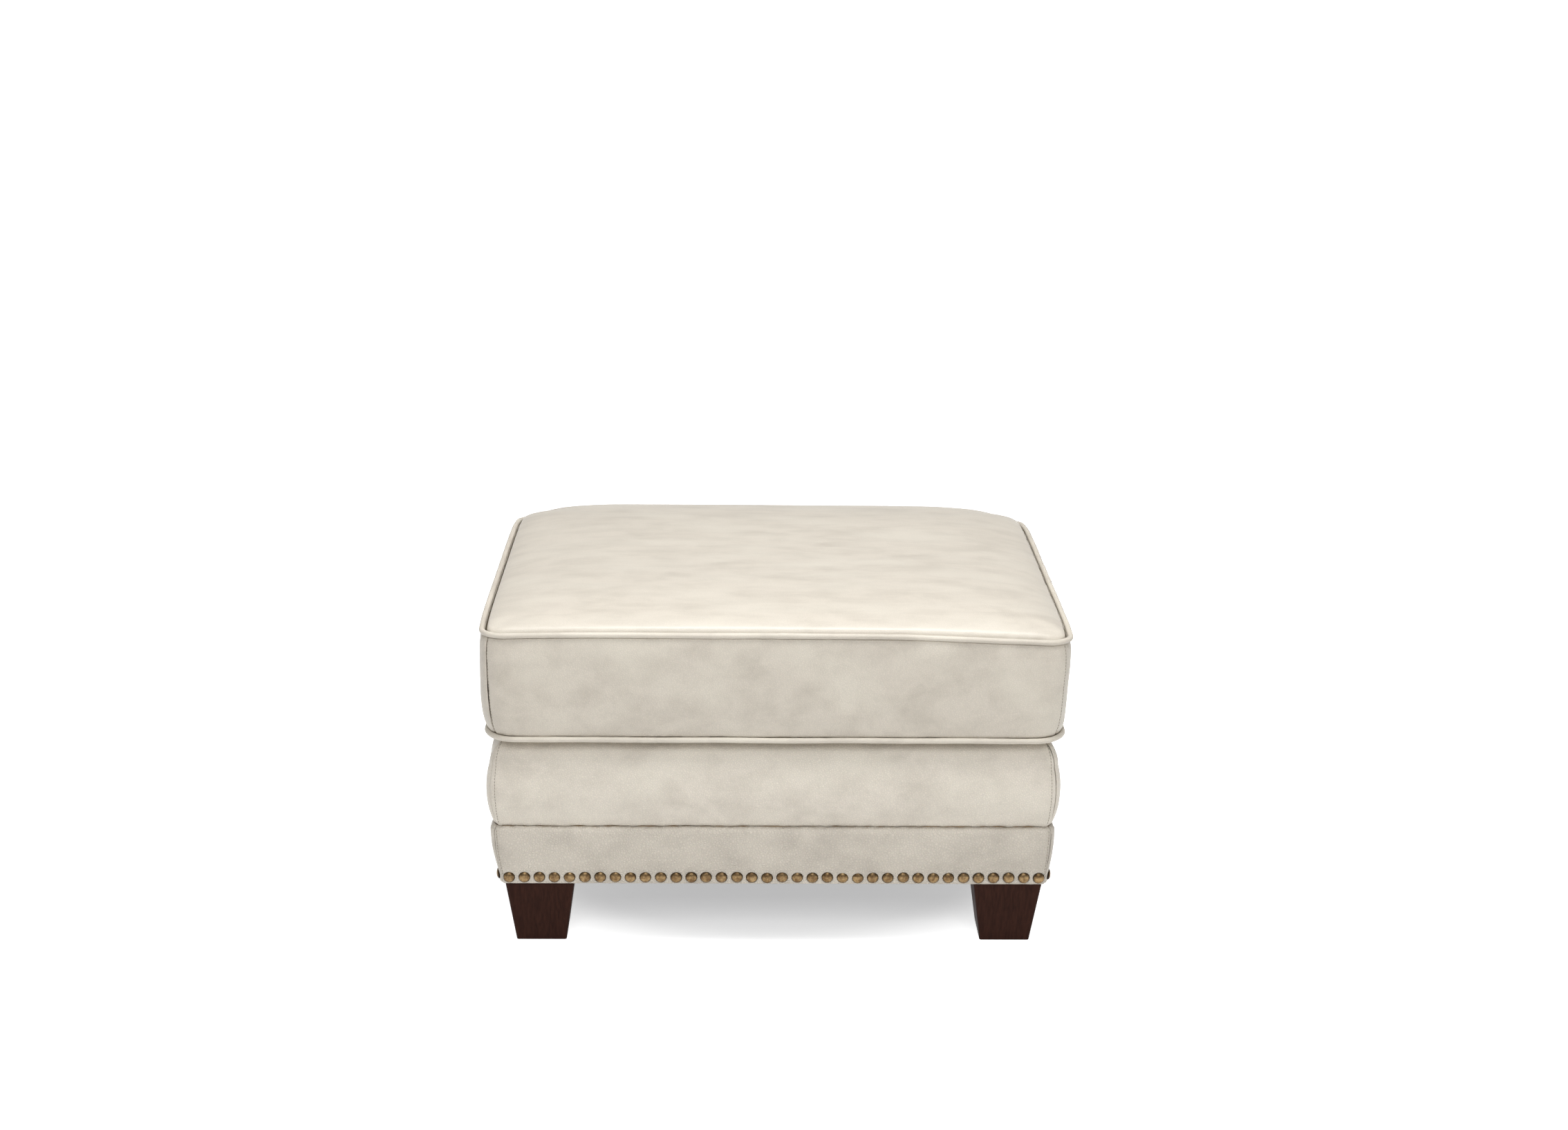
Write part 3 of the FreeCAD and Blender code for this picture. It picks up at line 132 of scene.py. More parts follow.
class Finish:
    """A named surface finish; its material is made once and shared."""

    name: str

    def paint(self, tree: bpy.types.NodeTree, shader: bpy.types.Node) -> None:
        """Set the shader's own sockets and link its patterns.

        Args:
            tree: The material's nodes.
            shader: Its principled shader.
        """
        raise NotImplementedError

    def material(self) -> bpy.types.Material:
        """Make this finish's material on first use, and find it again later.

        Returns:
            The material.
        """
        found = bpy.data.materials.get(self.name)
        if found is None:
            found = bpy.data.materials.new(self.name)
            found.use_nodes = True
            tree = found.node_tree
            tree.nodes.clear()
            shader = add_node(tree, "ShaderNodeBsdfPrincipled")
            add_node(tree, "ShaderNodeOutputMaterial", {"Surface": shader.outputs[0]})
            self.paint(tree, shader)
        return found

    @staticmethod
    def place(tree: bpy.types.NodeTree, scale: Sequence[float] = (1, 1, 1)) -> bpy.types.NodeSocket:
        """Return object coordinates, stretched where a pattern has a direction."""
        where = add_node(tree, "ShaderNodeTexCoord").outputs["Object"]
        return add_node(tree, "ShaderNodeMapping", {"Vector": where, "Scale": tuple(scale)}).outputs[0]

    @staticmethod
    def toned(
        tree: bpy.types.NodeTree, pattern: bpy.types.NodeSocket, span: tuple[float, float],
        first: Union[str, Socket], second: Union[str, Socket], reach: tuple[float, float] = (0.0, 1.0),
    ) -> bpy.types.NodeSocket:
        """Blend two colours by a pattern.

        Args:
            tree: The material's nodes.
            pattern: What decides on the blend.
            span: The pattern's values at the start and end of the blend.
            first: A colour, in hex digits or from another blend.
            second: The other colour.
            reach: Shares of the second colour at the start and end.

        Returns:
            The blended colour.
        """
        share = add_node(tree, "ShaderNodeMapRange", {
            "Value": pattern, "From Min": span[0], "From Max": span[1],
            "To Min": reach[0], "To Max": reach[1],
        }).outputs[0]
        start, end = (linear(colour) if isinstance(colour, str) else colour for colour in (first, second))
        return add_node(tree, "ShaderNodeMix", {0: share, 6: start, 7: end}, data_type="RGBA").outputs[2]

    @staticmethod
    def roughened(
        tree: bpy.types.NodeTree, shader: bpy.types.Node, pattern: bpy.types.NodeSocket, least: float,
        most: float,
    ) -> None:
        """Let the shader's roughness follow a pattern over its middle range.

        Args:
            tree: The material's nodes.
            shader: Its principled shader.
            pattern: What decides on the roughness.
            least: The roughness where the pattern is low.
            most: The roughness where it is high.
        """
        rough = add_node(tree, "ShaderNodeMapRange", {
            "Value": pattern, "From Min": 0.3, "From Max": 0.7, "To Min": least, "To Max": most,
        }).outputs[0]
        tree.links.new(rough, shader.inputs["Roughness"])

    @staticmethod
    def surfaced(
        tree: bpy.types.NodeTree, shader: bpy.types.Node, colour: bpy.types.NodeSocket,
        height: bpy.types.NodeSocket, depth_mm: float, strength: float,
    ) -> None:
        """Give the shader its colour and its relief.

        Args:
            tree: The material's nodes.
            shader: Its principled shader.
            colour: The colour's pattern.
            height: The relief's pattern.
            depth_mm: How deep the relief is.
            strength: How much of it is shown.
        """
        tree.links.new(colour, shader.inputs["Base Color"])
        relief = add_node(tree, "ShaderNodeBump", {
            "Strength": strength, "Distance": depth_mm * MM, "Height": height,
        })
        tree.links.new(relief.outputs[0], shader.inputs["Normal"])


@dataclass(frozen=True)
class AnilineLeather(Finish):
    """Drum-dyed aniline hide, milled soft: cloudy in colour, pebbled, with a low waxy sheen.

    Real pebbles are one to two millimetres across. They are drawn a little coarser, so that they show.
    """

    name: str
    hide: str = "D1C9BC"
    shade: str = "C2BAAD"
    bloom: str = "DBD4C6"
    cloud_mm: float = 36
    wax: float = 0.1
    streak: tuple[float, float, float] = (0.75, 1.0, 1.0)
    pebble_mm: float = 2.4
    pebble_depth_mm: float = 0.2
    # Share of the colour kept in the pebbles' valleys: painted shade.
    painted_valley_shade: float = 0.9

    def paint(self, tree: bpy.types.NodeTree, shader: bpy.types.Node) -> None:
        """Dye clouds in two sizes, pebbles whose valleys are darkened as painted shade, and a roughness that
        follows the dye.

        Args:
            tree: The material's nodes.
            shader: Its principled shader.
        """
        soft = self.place(tree, self.streak)
        cloud = add_node(tree, "ShaderNodeTexNoise", {
            "Vector": soft, "Scale": 1 / (self.cloud_mm * MM), "Detail": 5.0, "Roughness": 0.58,
            "Distortion": 0.35,
        }).outputs["Fac"]
        patch = add_node(tree, "ShaderNodeTexNoise", {
            "Vector": soft, "Scale": 0.45 / (self.cloud_mm * MM), "Detail": 3.0,
        }).outputs["Fac"]
        dyed = self.toned(tree, cloud, (0.32, 0.6), self.hide, self.shade, reach=(1.0, 0.0))
        dyed = self.toned(tree, patch, (0.45, 0.7), dyed, self.bloom, reach=(0.0, 0.8))
        even = self.place(tree)
        pebble = add_node(tree, "ShaderNodeTexVoronoi", {
            "Vector": even, "Scale": 1 / (self.pebble_mm * MM), "Randomness": 1.0,
        }, feature="DISTANCE_TO_EDGE").outputs["Distance"]
        rounded = add_node(tree, "ShaderNodeMapRange", {
            "Value": pebble, "From Max": 0.35,
        }, interpolation_type="SMOOTHSTEP").outputs[0]
        pores = add_node(tree, "ShaderNodeTexNoise", {
            "Vector": even, "Scale": 1.6 / (self.pebble_mm * MM), "Detail": 3.0,
        }).outputs["Fac"]
        relief = add_node(tree, "ShaderNodeMath", {0: rounded, 1: pores}, operation="ADD").outputs[0]
        # Darken the pebbles' valleys: painted shade.
        painted_valley_shade = add_node(tree, "ShaderNodeMapRange", {
            "Value": rounded, "From Max": 0.7, "To Min": self.painted_valley_shade,
        }).outputs[0]
        dye_with_painted_valley_shade = add_node(tree, "ShaderNodeVectorMath", {
            0: dyed, 1: painted_valley_shade,
        }, operation="MULTIPLY").outputs[0]
        self.roughened(tree, shader, cloud, least=0.44, most=0.54)
        shader.inputs["IOR"].default_value = 1.47
        shader.inputs["Coat Weight"].default_value = self.wax
        shader.inputs["Coat Roughness"].default_value = 0.34
        self.surfaced(tree, shader, dye_with_painted_valley_shade, relief, self.pebble_depth_mm, strength=0.9)


@dataclass(frozen=True)
class Hardwood(Finish):
    """Straight-grained hardwood: long fibres along one axis, stained and lacquered or left sawn."""

    name: str
    early: str
    late: str
    along: tuple[float, float, float] = (1.0, 1.0, 0.06)
    fibre_mm: float = 3.2
    roughness: float = 0.6
    gloss: float = 0.5

    def paint(self, tree: bpy.types.NodeTree, shader: bpy.types.Node) -> None:
        """Fibres stretched along the grain, with fine pores between them.

        Args:
            tree: The material's nodes.
            shader: Its principled shader.
        """
        where = self.place(tree, self.along)
        fibre = add_node(tree, "ShaderNodeTexNoise", {
            "Vector": where, "Scale": 1 / (self.fibre_mm * MM), "Detail": 6.0, "Roughness": 0.6,
            "Distortion": 0.4,
        }).outputs["Fac"]
        colour = self.toned(tree, fibre, (0.35, 0.65), self.early, self.late)
        shader.inputs["Roughness"].default_value = self.roughness
        shader.inputs["Specular IOR Level"].default_value = self.gloss
        self.surfaced(tree, shader, colour, fibre, depth_mm=0.12, strength=0.35)


@dataclass(frozen=True)
class Metal(Finish):
    """A drawn, plated or blackened metal: one colour, with handling marks in its roughness."""

    name: str
    bright: str
    dull: str
    mark_mm: float = 3.0
    roughness: float = 0.35

    def paint(self, tree: bpy.types.NodeTree, shader: bpy.types.Node) -> None:
        """Dull patches on a bright ground, rougher where they are dull.

        Args:
            tree: The material's nodes.
            shader: Its principled shader.
        """
        mark = add_node(tree, "ShaderNodeTexNoise", {
            "Vector": self.place(tree), "Scale": 1 / (self.mark_mm * MM), "Detail": 4.0,
        }).outputs["Fac"]
        colour = self.toned(tree, mark, (0.4, 0.65), self.bright, self.dull)
        self.roughened(tree, shader, mark, self.roughness - 0.07, self.roughness + 0.1)
        shader.inputs["Metallic"].default_value = 1.0
        self.surfaced(tree, shader, colour, mark, depth_mm=0.04, strength=0.3)


@dataclass(frozen=True)
class AntiqueBrass(Finish):
    """Pressed brass nail heads, browned and then rubbed: bright on the dome, dark at the rim from patina and
    painted shadow.
    """

    name: str = "antique_brass_rubbed"
    rubbed: str = "887252"
    browned: str = "5E4932"
    # The rim's colour: patina, darkened further as painted shadow under the dome's edge.
    rim: str = "1E1611"
    patch_mm: float = 5.0

    def paint(self, tree: bpy.types.NodeTree, shader: bpy.types.Node) -> None:
        """The rubbed attribute runs from the rim to the top of each head; patches vary it. Its rim end brings
        patina and painted shadow.

        Args:
            tree: The material's nodes.
            shader: Its principled shader.
        """
        rubbed = add_node(tree, "ShaderNodeAttribute", attribute_name="rubbed").outputs["Fac"]
        patch = add_node(tree, "ShaderNodeTexNoise", {
            "Vector": self.place(tree), "Scale": 1 / (self.patch_mm * MM), "Detail": 4.0, "Roughness": 0.7,
        }).outputs["Fac"]
        dome = self.toned(tree, patch, (0.38, 0.62), self.rubbed, self.browned)
        # Darkest at the rim: patina in the hollow, and painted shadow under the dome's edge.
        colour = self.toned(tree, rubbed, (0.12, 0.75), self.rim, dome)
        self.roughened(tree, shader, patch, least=0.3, most=0.46)
        shader.inputs["Metallic"].default_value = 1.0
        self.surfaced(tree, shader, colour, patch, depth_mm=0.12, strength=0.45)


@dataclass(frozen=True)
class WovenCloth(Finish):
    """Plain weave: warp and weft threads that rise and dip in turn.

    One wave of the texture is 0.314 m long at a scale of 1, and its scale here comes from the thread's
    width. The fine cloths are drawn with threads of 0.7 mm or more, so that they show.
    """

    name: str
    thread: str
    gap: str
    thread_mm: float = 1.2
    slub: float = 0.3

    def paint(self, tree: bpy.types.NodeTree, shader: bpy.types.Node) -> None:
        """Two wave bands at right angles, the higher of which is seen.

        Args:
            tree: The material's nodes.
            shader: Its principled shader.
        """
        where = self.place(tree)
        wave_at_one = 0.314
        bands = [
            add_node(tree, "ShaderNodeTexWave", {
                "Vector": where, "Scale": wave_at_one / (self.thread_mm * MM), "Distortion": self.slub,
                "Detail": 1.0,
            }, bands_direction=direction).outputs["Fac"]
            for direction in ("X", "Y")
        ]
        weave = add_node(tree, "ShaderNodeMath", {0: bands[0], 1: bands[1]}, operation="MAXIMUM").outputs[0]
        colour = self.toned(tree, weave, (0.0, 1.0), self.gap, self.thread)
        shader.inputs["Roughness"].default_value = 0.9
        shader.inputs["Sheen Weight"].default_value = 0.15
        self.surfaced(tree, shader, colour, weave, depth_mm=0.3, strength=0.8)


@dataclass(frozen=True)
class LooseFibre(Finish):
    """Foam, wadding, card or spun cloth: one soft colour broken up by cells, hairs or flecks."""

    name: str
    body: str
    fleck: str
    fleck_mm: float = 1.6
    stretch: tuple[float, float, float] = (1.0, 1.0, 1.0)
    depth_mm: float = 0.3

    def paint(self, tree: bpy.types.NodeTree, shader: bpy.types.Node) -> None:
        """Flecks of a second colour that also raise the surface.

        Args:
            tree: The material's nodes.
            shader: Its principled shader.
        """
        fleck = add_node(tree, "ShaderNodeTexNoise", {
            "Vector": self.place(tree, self.stretch), "Scale": 1 / (self.fleck_mm * MM), "Detail": 5.0,
            "Roughness": 0.65,
        }).outputs["Fac"]
        colour = self.toned(tree, fleck, (0.4, 0.62), self.body, self.fleck)
        shader.inputs["Roughness"].default_value = 0.92
        self.surfaced(tree, shader, colour, fleck, self.depth_mm, strength=0.6)


@dataclass(frozen=True)
class MouldedPlastic(Finish):
    """Injection-moulded acetal, satin from the mould."""

    name: str
    colour: str
    roughness: float = 0.38
    grit_mm: float = 0.8

    def paint(self, tree: bpy.types.NodeTree, shader: bpy.types.Node) -> None:
        """A faint mould texture on one colour.

        Args:
            tree: The material's nodes.
            shader: Its principled shader.
        """
        grit = add_node(tree, "ShaderNodeTexNoise", {
            "Vector": self.place(tree), "Scale": 1 / (self.grit_mm * MM), "Detail": 2.0,
        }).outputs["Fac"]
        tone = add_node(tree, "ShaderNodeMapRange", {
            "Value": grit, "To Min": 0.9, "To Max": 1.06,
        }).outputs[0]
        colour = add_node(tree, "ShaderNodeVectorMath", {
            0: linear(self.colour)[:3], 1: tone,
        }, operation="MULTIPLY").outputs[0]
        shader.inputs["Roughness"].default_value = self.roughness
        self.surfaced(tree, shader, colour, grit, depth_mm=0.03, strength=0.4)


# Ivory hide, softly clouded and nearly without shine, as if it had been sat on for years.
CUSHION_LEATHER = AnilineLeather("aniline_leather_cushion")
# The same hide drawn tight and rubbed with wax: clouds pulled out sideways under a low sheen.
TOP_LEATHER = AnilineLeather(
    "aniline_leather_top", shade="C5BDB0", bloom="D6CFC2", wax=0.45, streak=(0.5, 1.5, 1.0), cloud_mm=30,
    pebble_depth_mm=0.08, painted_valley_shade=0.95,
)
# The same hide drawn paler than the cushion's, as painted light on a bulge that faces up; its pebbles open
# where it bulges.
BORDER_LEATHER_PAINTED_LIGHTER = AnilineLeather(
    "aniline_leather_border_painted_lighter", hide="DFD7CA", shade="D0C8BB", bloom="E4DDCF", pebble_mm=2.6,
    pebble_depth_mm=0.3, painted_valley_shade=0.88,
)
# The stoutest part: coarse pebbles with painted shade in their valleys.
BAND_LEATHER = AnilineLeather(
    "aniline_leather_band", hide="CFC7BA", shade="C0B8AC", bloom="D8D0C3", pebble_mm=3.4,
    pebble_depth_mm=0.55, painted_valley_shade=0.87,
)
# Pared thin and pulled round its cord: smooth, with a line of light along the top.
PIPING_LEATHER = AnilineLeather(
    "aniline_leather_piping", hide="CEC6B9", shade="C4BCAF", pebble_depth_mm=0.06, painted_valley_shade=0.95,
)
# Darker than the hide, so that the stitches read as a fine broken line.
THREAD = LooseFibre("bonded_nylon_thread", "8E8577", "A39A8B", fleck_mm=0.5, depth_mm=0.05)
# Warm grey-brown domes with a soft spot of light, and dark rims of patina and painted shadow.
BRASS = AntiqueBrass()
# Deep brown stain under satin lacquer: nearly black, with a trace of red grain.
ESPRESSO = Hardwood("stained_hardwood_espresso", "361E16", "28140E", roughness=0.5, gloss=0.06)
# Pale dry boards straight from the saw, with their grain along X and along Y.
SAWN = Hardwood("sawn_hardwood", "C9A77C", "B08A5E", along=(0.06, 1.0, 1.0))
SAWN_SIDE = Hardwood("sawn_hardwood_side", "C9A77C", "B08A5E", along=(1.0, 0.06, 1.0))
# Paler and closer than the boards.
BEECH_DOWEL = Hardwood("turned_beech", "D8B78C", "C49F72", along=(1.0, 0.06, 1.0))
# Cool grey plating with a cloudy shine.
ZINC = Metal("zinc_plated_steel", "B9BCBE", "94979A")
# Browned like the nails, but smoother from handling.
ZIP_BRASS = Metal("antique_brass_zip_alloy", "86704F", "57472F", mark_mm=2.0, roughness=0.36)
# Nearly black, with a dull gleam along the wire.
OILED_WIRE = Metal("oil_blackened_wire", "3A3A3C", "232325", roughness=0.42)
# Golden uneven threads with dark gaps.
HESSIAN = WovenCloth("jute_hessian", "B79767", "6E5433", thread_mm=2.2, slub=1.2)
# Plain close cotton, paler than the leather round it.
DECK_CLOTH = WovenCloth("cotton_deck_cloth", "CFC5B3", "9A907F", thread_mm=0.9)
# Fine even ribs, a shade darker than the hide.
ZIP_TAPE = WovenCloth("polyester_zip_tape", "B5AB9B", "8C8375", thread_mm=0.7, slub=0.1)
# Off-white strands.
CORD = WovenCloth("braided_cotton_cord", "D9D4C6", "ABA595", thread_mm=0.9)
# Yellowed cells that take in the light.
FOAM = LooseFibre("polyurethane_foam", "E7DDBB", "D3C79E", fleck_mm=1.4, depth_mm=0.5)
# Long white hairs in soft heaps.
WADDING = LooseFibre("polyester_wadding", "F0F0EC", "D6D6D0", fleck_mm=3.5, stretch=(0.3, 1, 1), depth_mm=1.0)
# Flat brown fibres.
CARD = LooseFibre("pressed_card", "A98B66", "8B6F4D", fleck_mm=1.0, stretch=(0.4, 1, 1), depth_mm=0.1)
# Black felt with grey specks.
SPUN_CLOTH = LooseFibre("spun_bonded_cloth", "26272B", "3C3E43", fleck_mm=1.1, depth_mm=0.12)
# Satin teeth in the tape's own colour.
ZIP_PLASTIC = MouldedPlastic("moulded_acetal_teeth", "A89E8F")


# Meshes


def mesh_object(
    name: str, points: np.ndarray, faces: Sequence[np.ndarray], finish: Finish
) -> bpy.types.Object:
    """Make a smooth mesh object at the origin.

    Args:
        name: The piece's name.
        points: Places, in an array whose last axis is x, y and z.
        faces: Arrays of corner numbers, each (faces, corners of a face).
        finish: What it is made of.

    Returns:
        The object, linked into the scene.
    """
    mesh = bpy.data.meshes.new(name)
    flat = np.ascontiguousarray(points.reshape(-1, 3), dtype=np.float32)
    corners = np.concatenate([f.ravel() for f in faces]).astype(np.int32)
    sizes = np.concatenate([np.full(len(f), f.shape[1]) for f in faces]).astype(np.int32)
    mesh.vertices.add(len(flat))
    mesh.vertices.foreach_set("co", flat.ravel())
    mesh.loops.add(len(corners))
    mesh.loops.foreach_set("vertex_index", corners)
    mesh.polygons.add(len(sizes))
    mesh.polygons.foreach_set("loop_start", (np.cumsum(sizes) - sizes).astype(np.int32))
    mesh.polygons.foreach_set("use_smooth", np.ones(len(sizes), dtype=bool))
    mesh.update(calc_edges=True)
    mesh.materials.append(finish.material())
    piece = bpy.data.objects.new(name, mesh)
    bpy.context.scene.collection.objects.link(piece)
    return piece


def grid_faces(rows: int, columns: int, ring_rows: bool = False, ring_columns: bool = False) -> np.ndarray:
    """Number the four corners of each cell of a grid.

    Args:
        rows: Points up the grid.
        columns: Points along it.
        ring_rows: Whether the last row joins the first.
        ring_columns: Whether the last column joins the first.

    Returns:
        (cells, 4) corner numbers, which face outwards by this file's rule.
    """
    index = np.arange(rows * columns).reshape(rows, columns)
    if ring_columns:
        index = np.hstack([index, index[:, :1]])
    if ring_rows:
        index = np.vstack([index, index[:1]])
    cells = (index[:-1, :-1], index[:-1, 1:], index[1:, 1:], index[1:, :-1])
    return np.stack(cells, axis=-1).reshape(-1, 4)


def grid_piece(
    name: str, points: np.ndarray, finish: Finish, ring_rows: bool = False, ring_columns: bool = False,
    thickness: float = 0.0,
) -> bpy.types.Object:
    """Make a piece from a grid of points, with a wall's thickness behind it if it is a skin.

    Args:
        name: The piece's name.
        points: (rows, columns, 3) places.
        finish: What it is made of.
        ring_rows: Whether the grid closes up over its rows.
        ring_columns: Whether it closes up along its columns.
        thickness: How thick the skin is, in metres, measured inwards.

    Returns:
        The object.
    """
    rows, columns = points.shape[:2]
    piece = mesh_object(name, points, [grid_faces(rows, columns, ring_rows, ring_columns)], finish)
    if thickness:
        wall = piece.modifiers.new("thickness", "SOLIDIFY")
        wall.thickness = thickness
        wall.offset = -1
    return piece


def pad_between(name: str, upper: np.ndarray, lower: np.ndarray, finish: Finish) -> bpy.types.Object:
    """Make a closed pad between two grids of one size, joined round their edges.

    Args:
        name: The piece's name.
        upper: (rows, columns, 3) places of its upper face, rows to the back and columns to the right.
        lower: The same for its lower face.
        finish: What it is made of.

    Returns:
        The object.
    """
    rows, columns = upper.shape[:2]
    count = rows * columns
    index = np.arange(count).reshape(rows, columns)
    rim = np.concatenate([index[0, :-1], index[:-1, -1], index[-1, :0:-1], index[:0:-1, 0]])
    ahead = np.roll(rim, -1)
    wall = np.stack([rim + count, ahead + count, ahead, rim], axis=1)
    cells = grid_faces(rows, columns)
    points = np.concatenate([upper.reshape(-1, 3), lower.reshape(-1, 3)])
    return mesh_object(name, points, [cells, cells[:, ::-1] + count, wall], finish)


def set_of_forms(
    name: str, form: np.ndarray, faces: Sequence[np.ndarray], centres: np.ndarray, along: np.ndarray,
    outward: np.ndarray, finish: Finish,
) -> bpy.types.Object:
    """Make one piece from copies of a small closed form.

    Each point of a copy is centre + x * along + y * across + z * outward, where across is outward
    turned round along.

    Args:
        name: The piece's name.
        form: (points, 3) places in a copy's own axes.
        faces: The form's faces.
        centres: (copies, 3) places.
        along: (copies, 3) directions of the form's x.
        outward: (copies, 3) directions of its z.
        finish: What it is made of.

    Returns:
        The object.
    """
    along = along / np.linalg.norm(along, axis=-1, keepdims=True)
    across = np.cross(outward, along)
    across /= np.linalg.norm(across, axis=-1, keepdims=True)
    axes = np.stack([along, across, np.cross(along, across)], axis=1)
    points = centres[:, None, :] + np.einsum("pk,nkd->npd", form, axes)
    first = np.arange(len(centres))[:, None, None] * len(form)
    return mesh_object(name, points, [(f[None] + first).reshape(-1, f.shape[1]) for f in faces], finish)


def turned_form(radii: np.ndarray, heights: np.ndarray, sides: int) -> tuple[np.ndarray, list[np.ndarray]]:
    """Make a closed form by turning a profile about Z, with a flat face at each end.

    Args:
        radii: Distance from the axis at each level, from the bottom up.
        heights: The levels.
        sides: Points round each level.

    Returns:
        (points, 3) places and the faces.
    """
    turn = np.arange(sides) * 2 * np.pi / sides
    x = radii[:, None] * np.cos(turn)
    y = radii[:, None] * np.sin(turn)
    z = np.broadcast_to(heights[:, None], x.shape)
    levels = len(radii)
    bottom = np.arange(sides)[::-1][None]
    top = (np.arange(sides) + (levels - 1) * sides)[None]
    faces = [grid_faces(levels, sides, ring_columns=True), bottom, top]
    return np.stack([x, y, z], axis=-1).reshape(-1, 3), faces


def normals(points: np.ndarray) -> np.ndarray:
    """Work out a grid's outward normals: the cross product of its slopes along and up."""
    outward = np.cross(np.gradient(points, axis=1), np.gradient(points, axis=0))
    return outward / np.maximum(np.linalg.norm(outward, axis=-1, keepdims=True), TINY)


def raised(points: np.ndarray, height: np.ndarray) -> np.ndarray:
    """Move each point of a grid along its normal by a height in metres."""
    return points + normals(points) * height[..., None]


def smooth(share: np.ndarray) -> np.ndarray:
    """Ease from 0 to 1: 3 s^2 - 2 s^3, held at both ends."""
    held = np.clip(share, 0, 1)
    return held * held * (3 - 2 * held)


def waves(
    points: np.ndarray, length_mm: float, seed: int, stretch: Sequence[float] = (1, 1, 1)
) -> np.ndarray:
    """Give soft random relief of about one size, from -1 to 1 for the most part.

    It is the sum of eleven sines that run in seeded directions with seeded phases, each between
    0.7 and 1.5 times as fine as the given length, divided by 3.3.

    Args:
        points: Places, with x, y and z on the last axis.
        length_mm: Distance from crest to crest.
        seed: Which pattern.
        stretch: How much finer the pattern is along each axis.

    Returns:
        The relief at each place.
    """
    sines, finest, coarsest, usual_sum = 11, 1.5, 0.7, 3.3
    rng = np.random.default_rng(seed)
    direction = rng.normal(size=(sines, 3))
    direction /= np.linalg.norm(direction, axis=1, keepdims=True)
    pace = 2 * np.pi / (length_mm * MM) * rng.uniform(coarsest, finest, size=sines)
    phase = rng.uniform(0, 2 * np.pi, size=sines)
    angle = (points * np.asarray(stretch)) @ (direction * pace[:, None]).T + phase
    return np.sin(angle).sum(-1) / usual_sum


def gathers(
    points: np.ndarray, from_seam: np.ndarray, length_mm: float, fade_mm: float, seed: int
) -> np.ndarray:
    """Give puckers that leave a seam: waves that fall off by e with each fade distance."""
    return waves(points, length_mm, seed) * np.exp(-from_seam / (fade_mm * MM))


def ridge(distance: np.ndarray, height_mm: float, width_mm: float, at_mm: float = 0.0) -> np.ndarray:
    """Give a rounded ridge, or a groove if its height is negative: h exp(-((d - at) / width)^2)."""
    return height_mm * MM * np.exp(-((distance - at_mm * MM) / (width_mm * MM)) ** 2)


def dress(
    piece: bpy.types.Object, body: str, stands_for: Sequence[str] = (),
) -> bpy.types.Object:
    """Hang a finished piece on its body and say what it is.

    Args:
        piece: The piece.
        body: The body that carries it.
        stands_for: The frame's nodes that it replaces.

    Returns:
        The piece.
    """
    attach(piece, body)
    if stands_for:
        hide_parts(*stands_for)
    LOG.info("%s on %s, %d points", piece.name, body, len(piece.data.vertices))
    return piece


# Walls that run round the stool


class Side(Enum):
    """The stool's four sides, numbered by quarter turns from the front."""

    FRONT = 0
    RIGHT = 1
    BACK = 2
    LEFT = 3

    @property
    def turn(self) -> float:
        """The side's turn about Z from the front, in radians."""
        return self.value * math.pi / 2

    @property
    def word(self) -> str:
        """The side's name, as it stands in the frame's nodes."""
        return self.name.lower()

    @property
    def felled(self) -> bool:
        """Whether the seams at the side's ends are folded onto it and stitched down."""
        return self in (Side.FRONT, Side.BACK)

    def pick(self, long_side: Value, short_side: Value) -> Value:
        """Choose the first value for the front and back, and the second for the left and right."""
        return long_side if self.value % 2 == 0 else short_side


def upright(values: Union[float, np.ndarray]) -> np.ndarray:
    """Stand a list of row values up as one column, and leave a grid as it is."""
    array = np.asarray(values, dtype=float)
    return array[:, None] if array.ndim == 1 else array


@dataclass(frozen=True)
class Strip:
    """Columns along one side of a rectangle with round corners, from mitre to mitre.

    For the front, x = place * (along - r) + r * sin(angle) and y = -(away - r) - r * cos(angle).
    Place runs from -1 to 1 between the corners' centres and angle from -45 to 45 degrees; it is
    zero between the corners. The other sides are the front, turned about Z.
    """

    side: Side
    place: np.ndarray
    angle: np.ndarray

    @classmethod
    def plan(cls, side: Side, straight: float, bends: int, fine: float, coarse: float) -> "Strip":
        """Space the columns: closely in and beside the corners, and wider along the middle.

        Args:
            side: Which side.
            straight: Distance between the corners' centres.
            bends: Columns in each half corner.
            fine: Spacing beside the corners.
            coarse: Spacing along the middle.

        Returns:
            The strip.
        """
        zone = 12 * MM
        close = np.linspace(0, zone, max(2, round(zone / fine)), endpoint=False)
        wide = np.linspace(zone, straight - zone, max(3, round((straight - 2 * zone) / coarse)))
        run = np.concatenate([close, wide, straight - close[::-1]]) / straight * 2 - 1
        bend = np.linspace(-MITRE, 0, bends, endpoint=False)
        place = np.concatenate([np.full(bends, -1.0), run, np.full(bends, 1.0)])
        angle = np.concatenate([bend, np.zeros(len(run)), -bend[::-1]])
        return cls(side, place, angle)

    def points(self, half_x: Rows, half_y: Rows, radius: Rows, height: Rows) -> np.ndarray:
        """Place a grid of points on this side.

        Args:
            half_x: Half the rectangle's size along X, for each row or each point.
            half_y: Half its size along Y.
            radius: Its corners' radius.
            height: Each row's or point's z.

        Returns:
            (rows, columns, 3) places.
        """
        along, away = self.side.pick((half_x, half_y), (half_y, half_x))
        along, away, radius, height = (upright(v) for v in (along, away, radius, height))
        x = self.place * (along - radius) + radius * np.sin(self.angle)
        y = -(away - radius) - radius * np.cos(self.angle)
        cos, sin = math.cos(self.side.turn), math.sin(self.side.turn)
        return np.stack(np.broadcast_arrays(x * cos - y * sin, x * sin + y * cos, height), axis=-1)


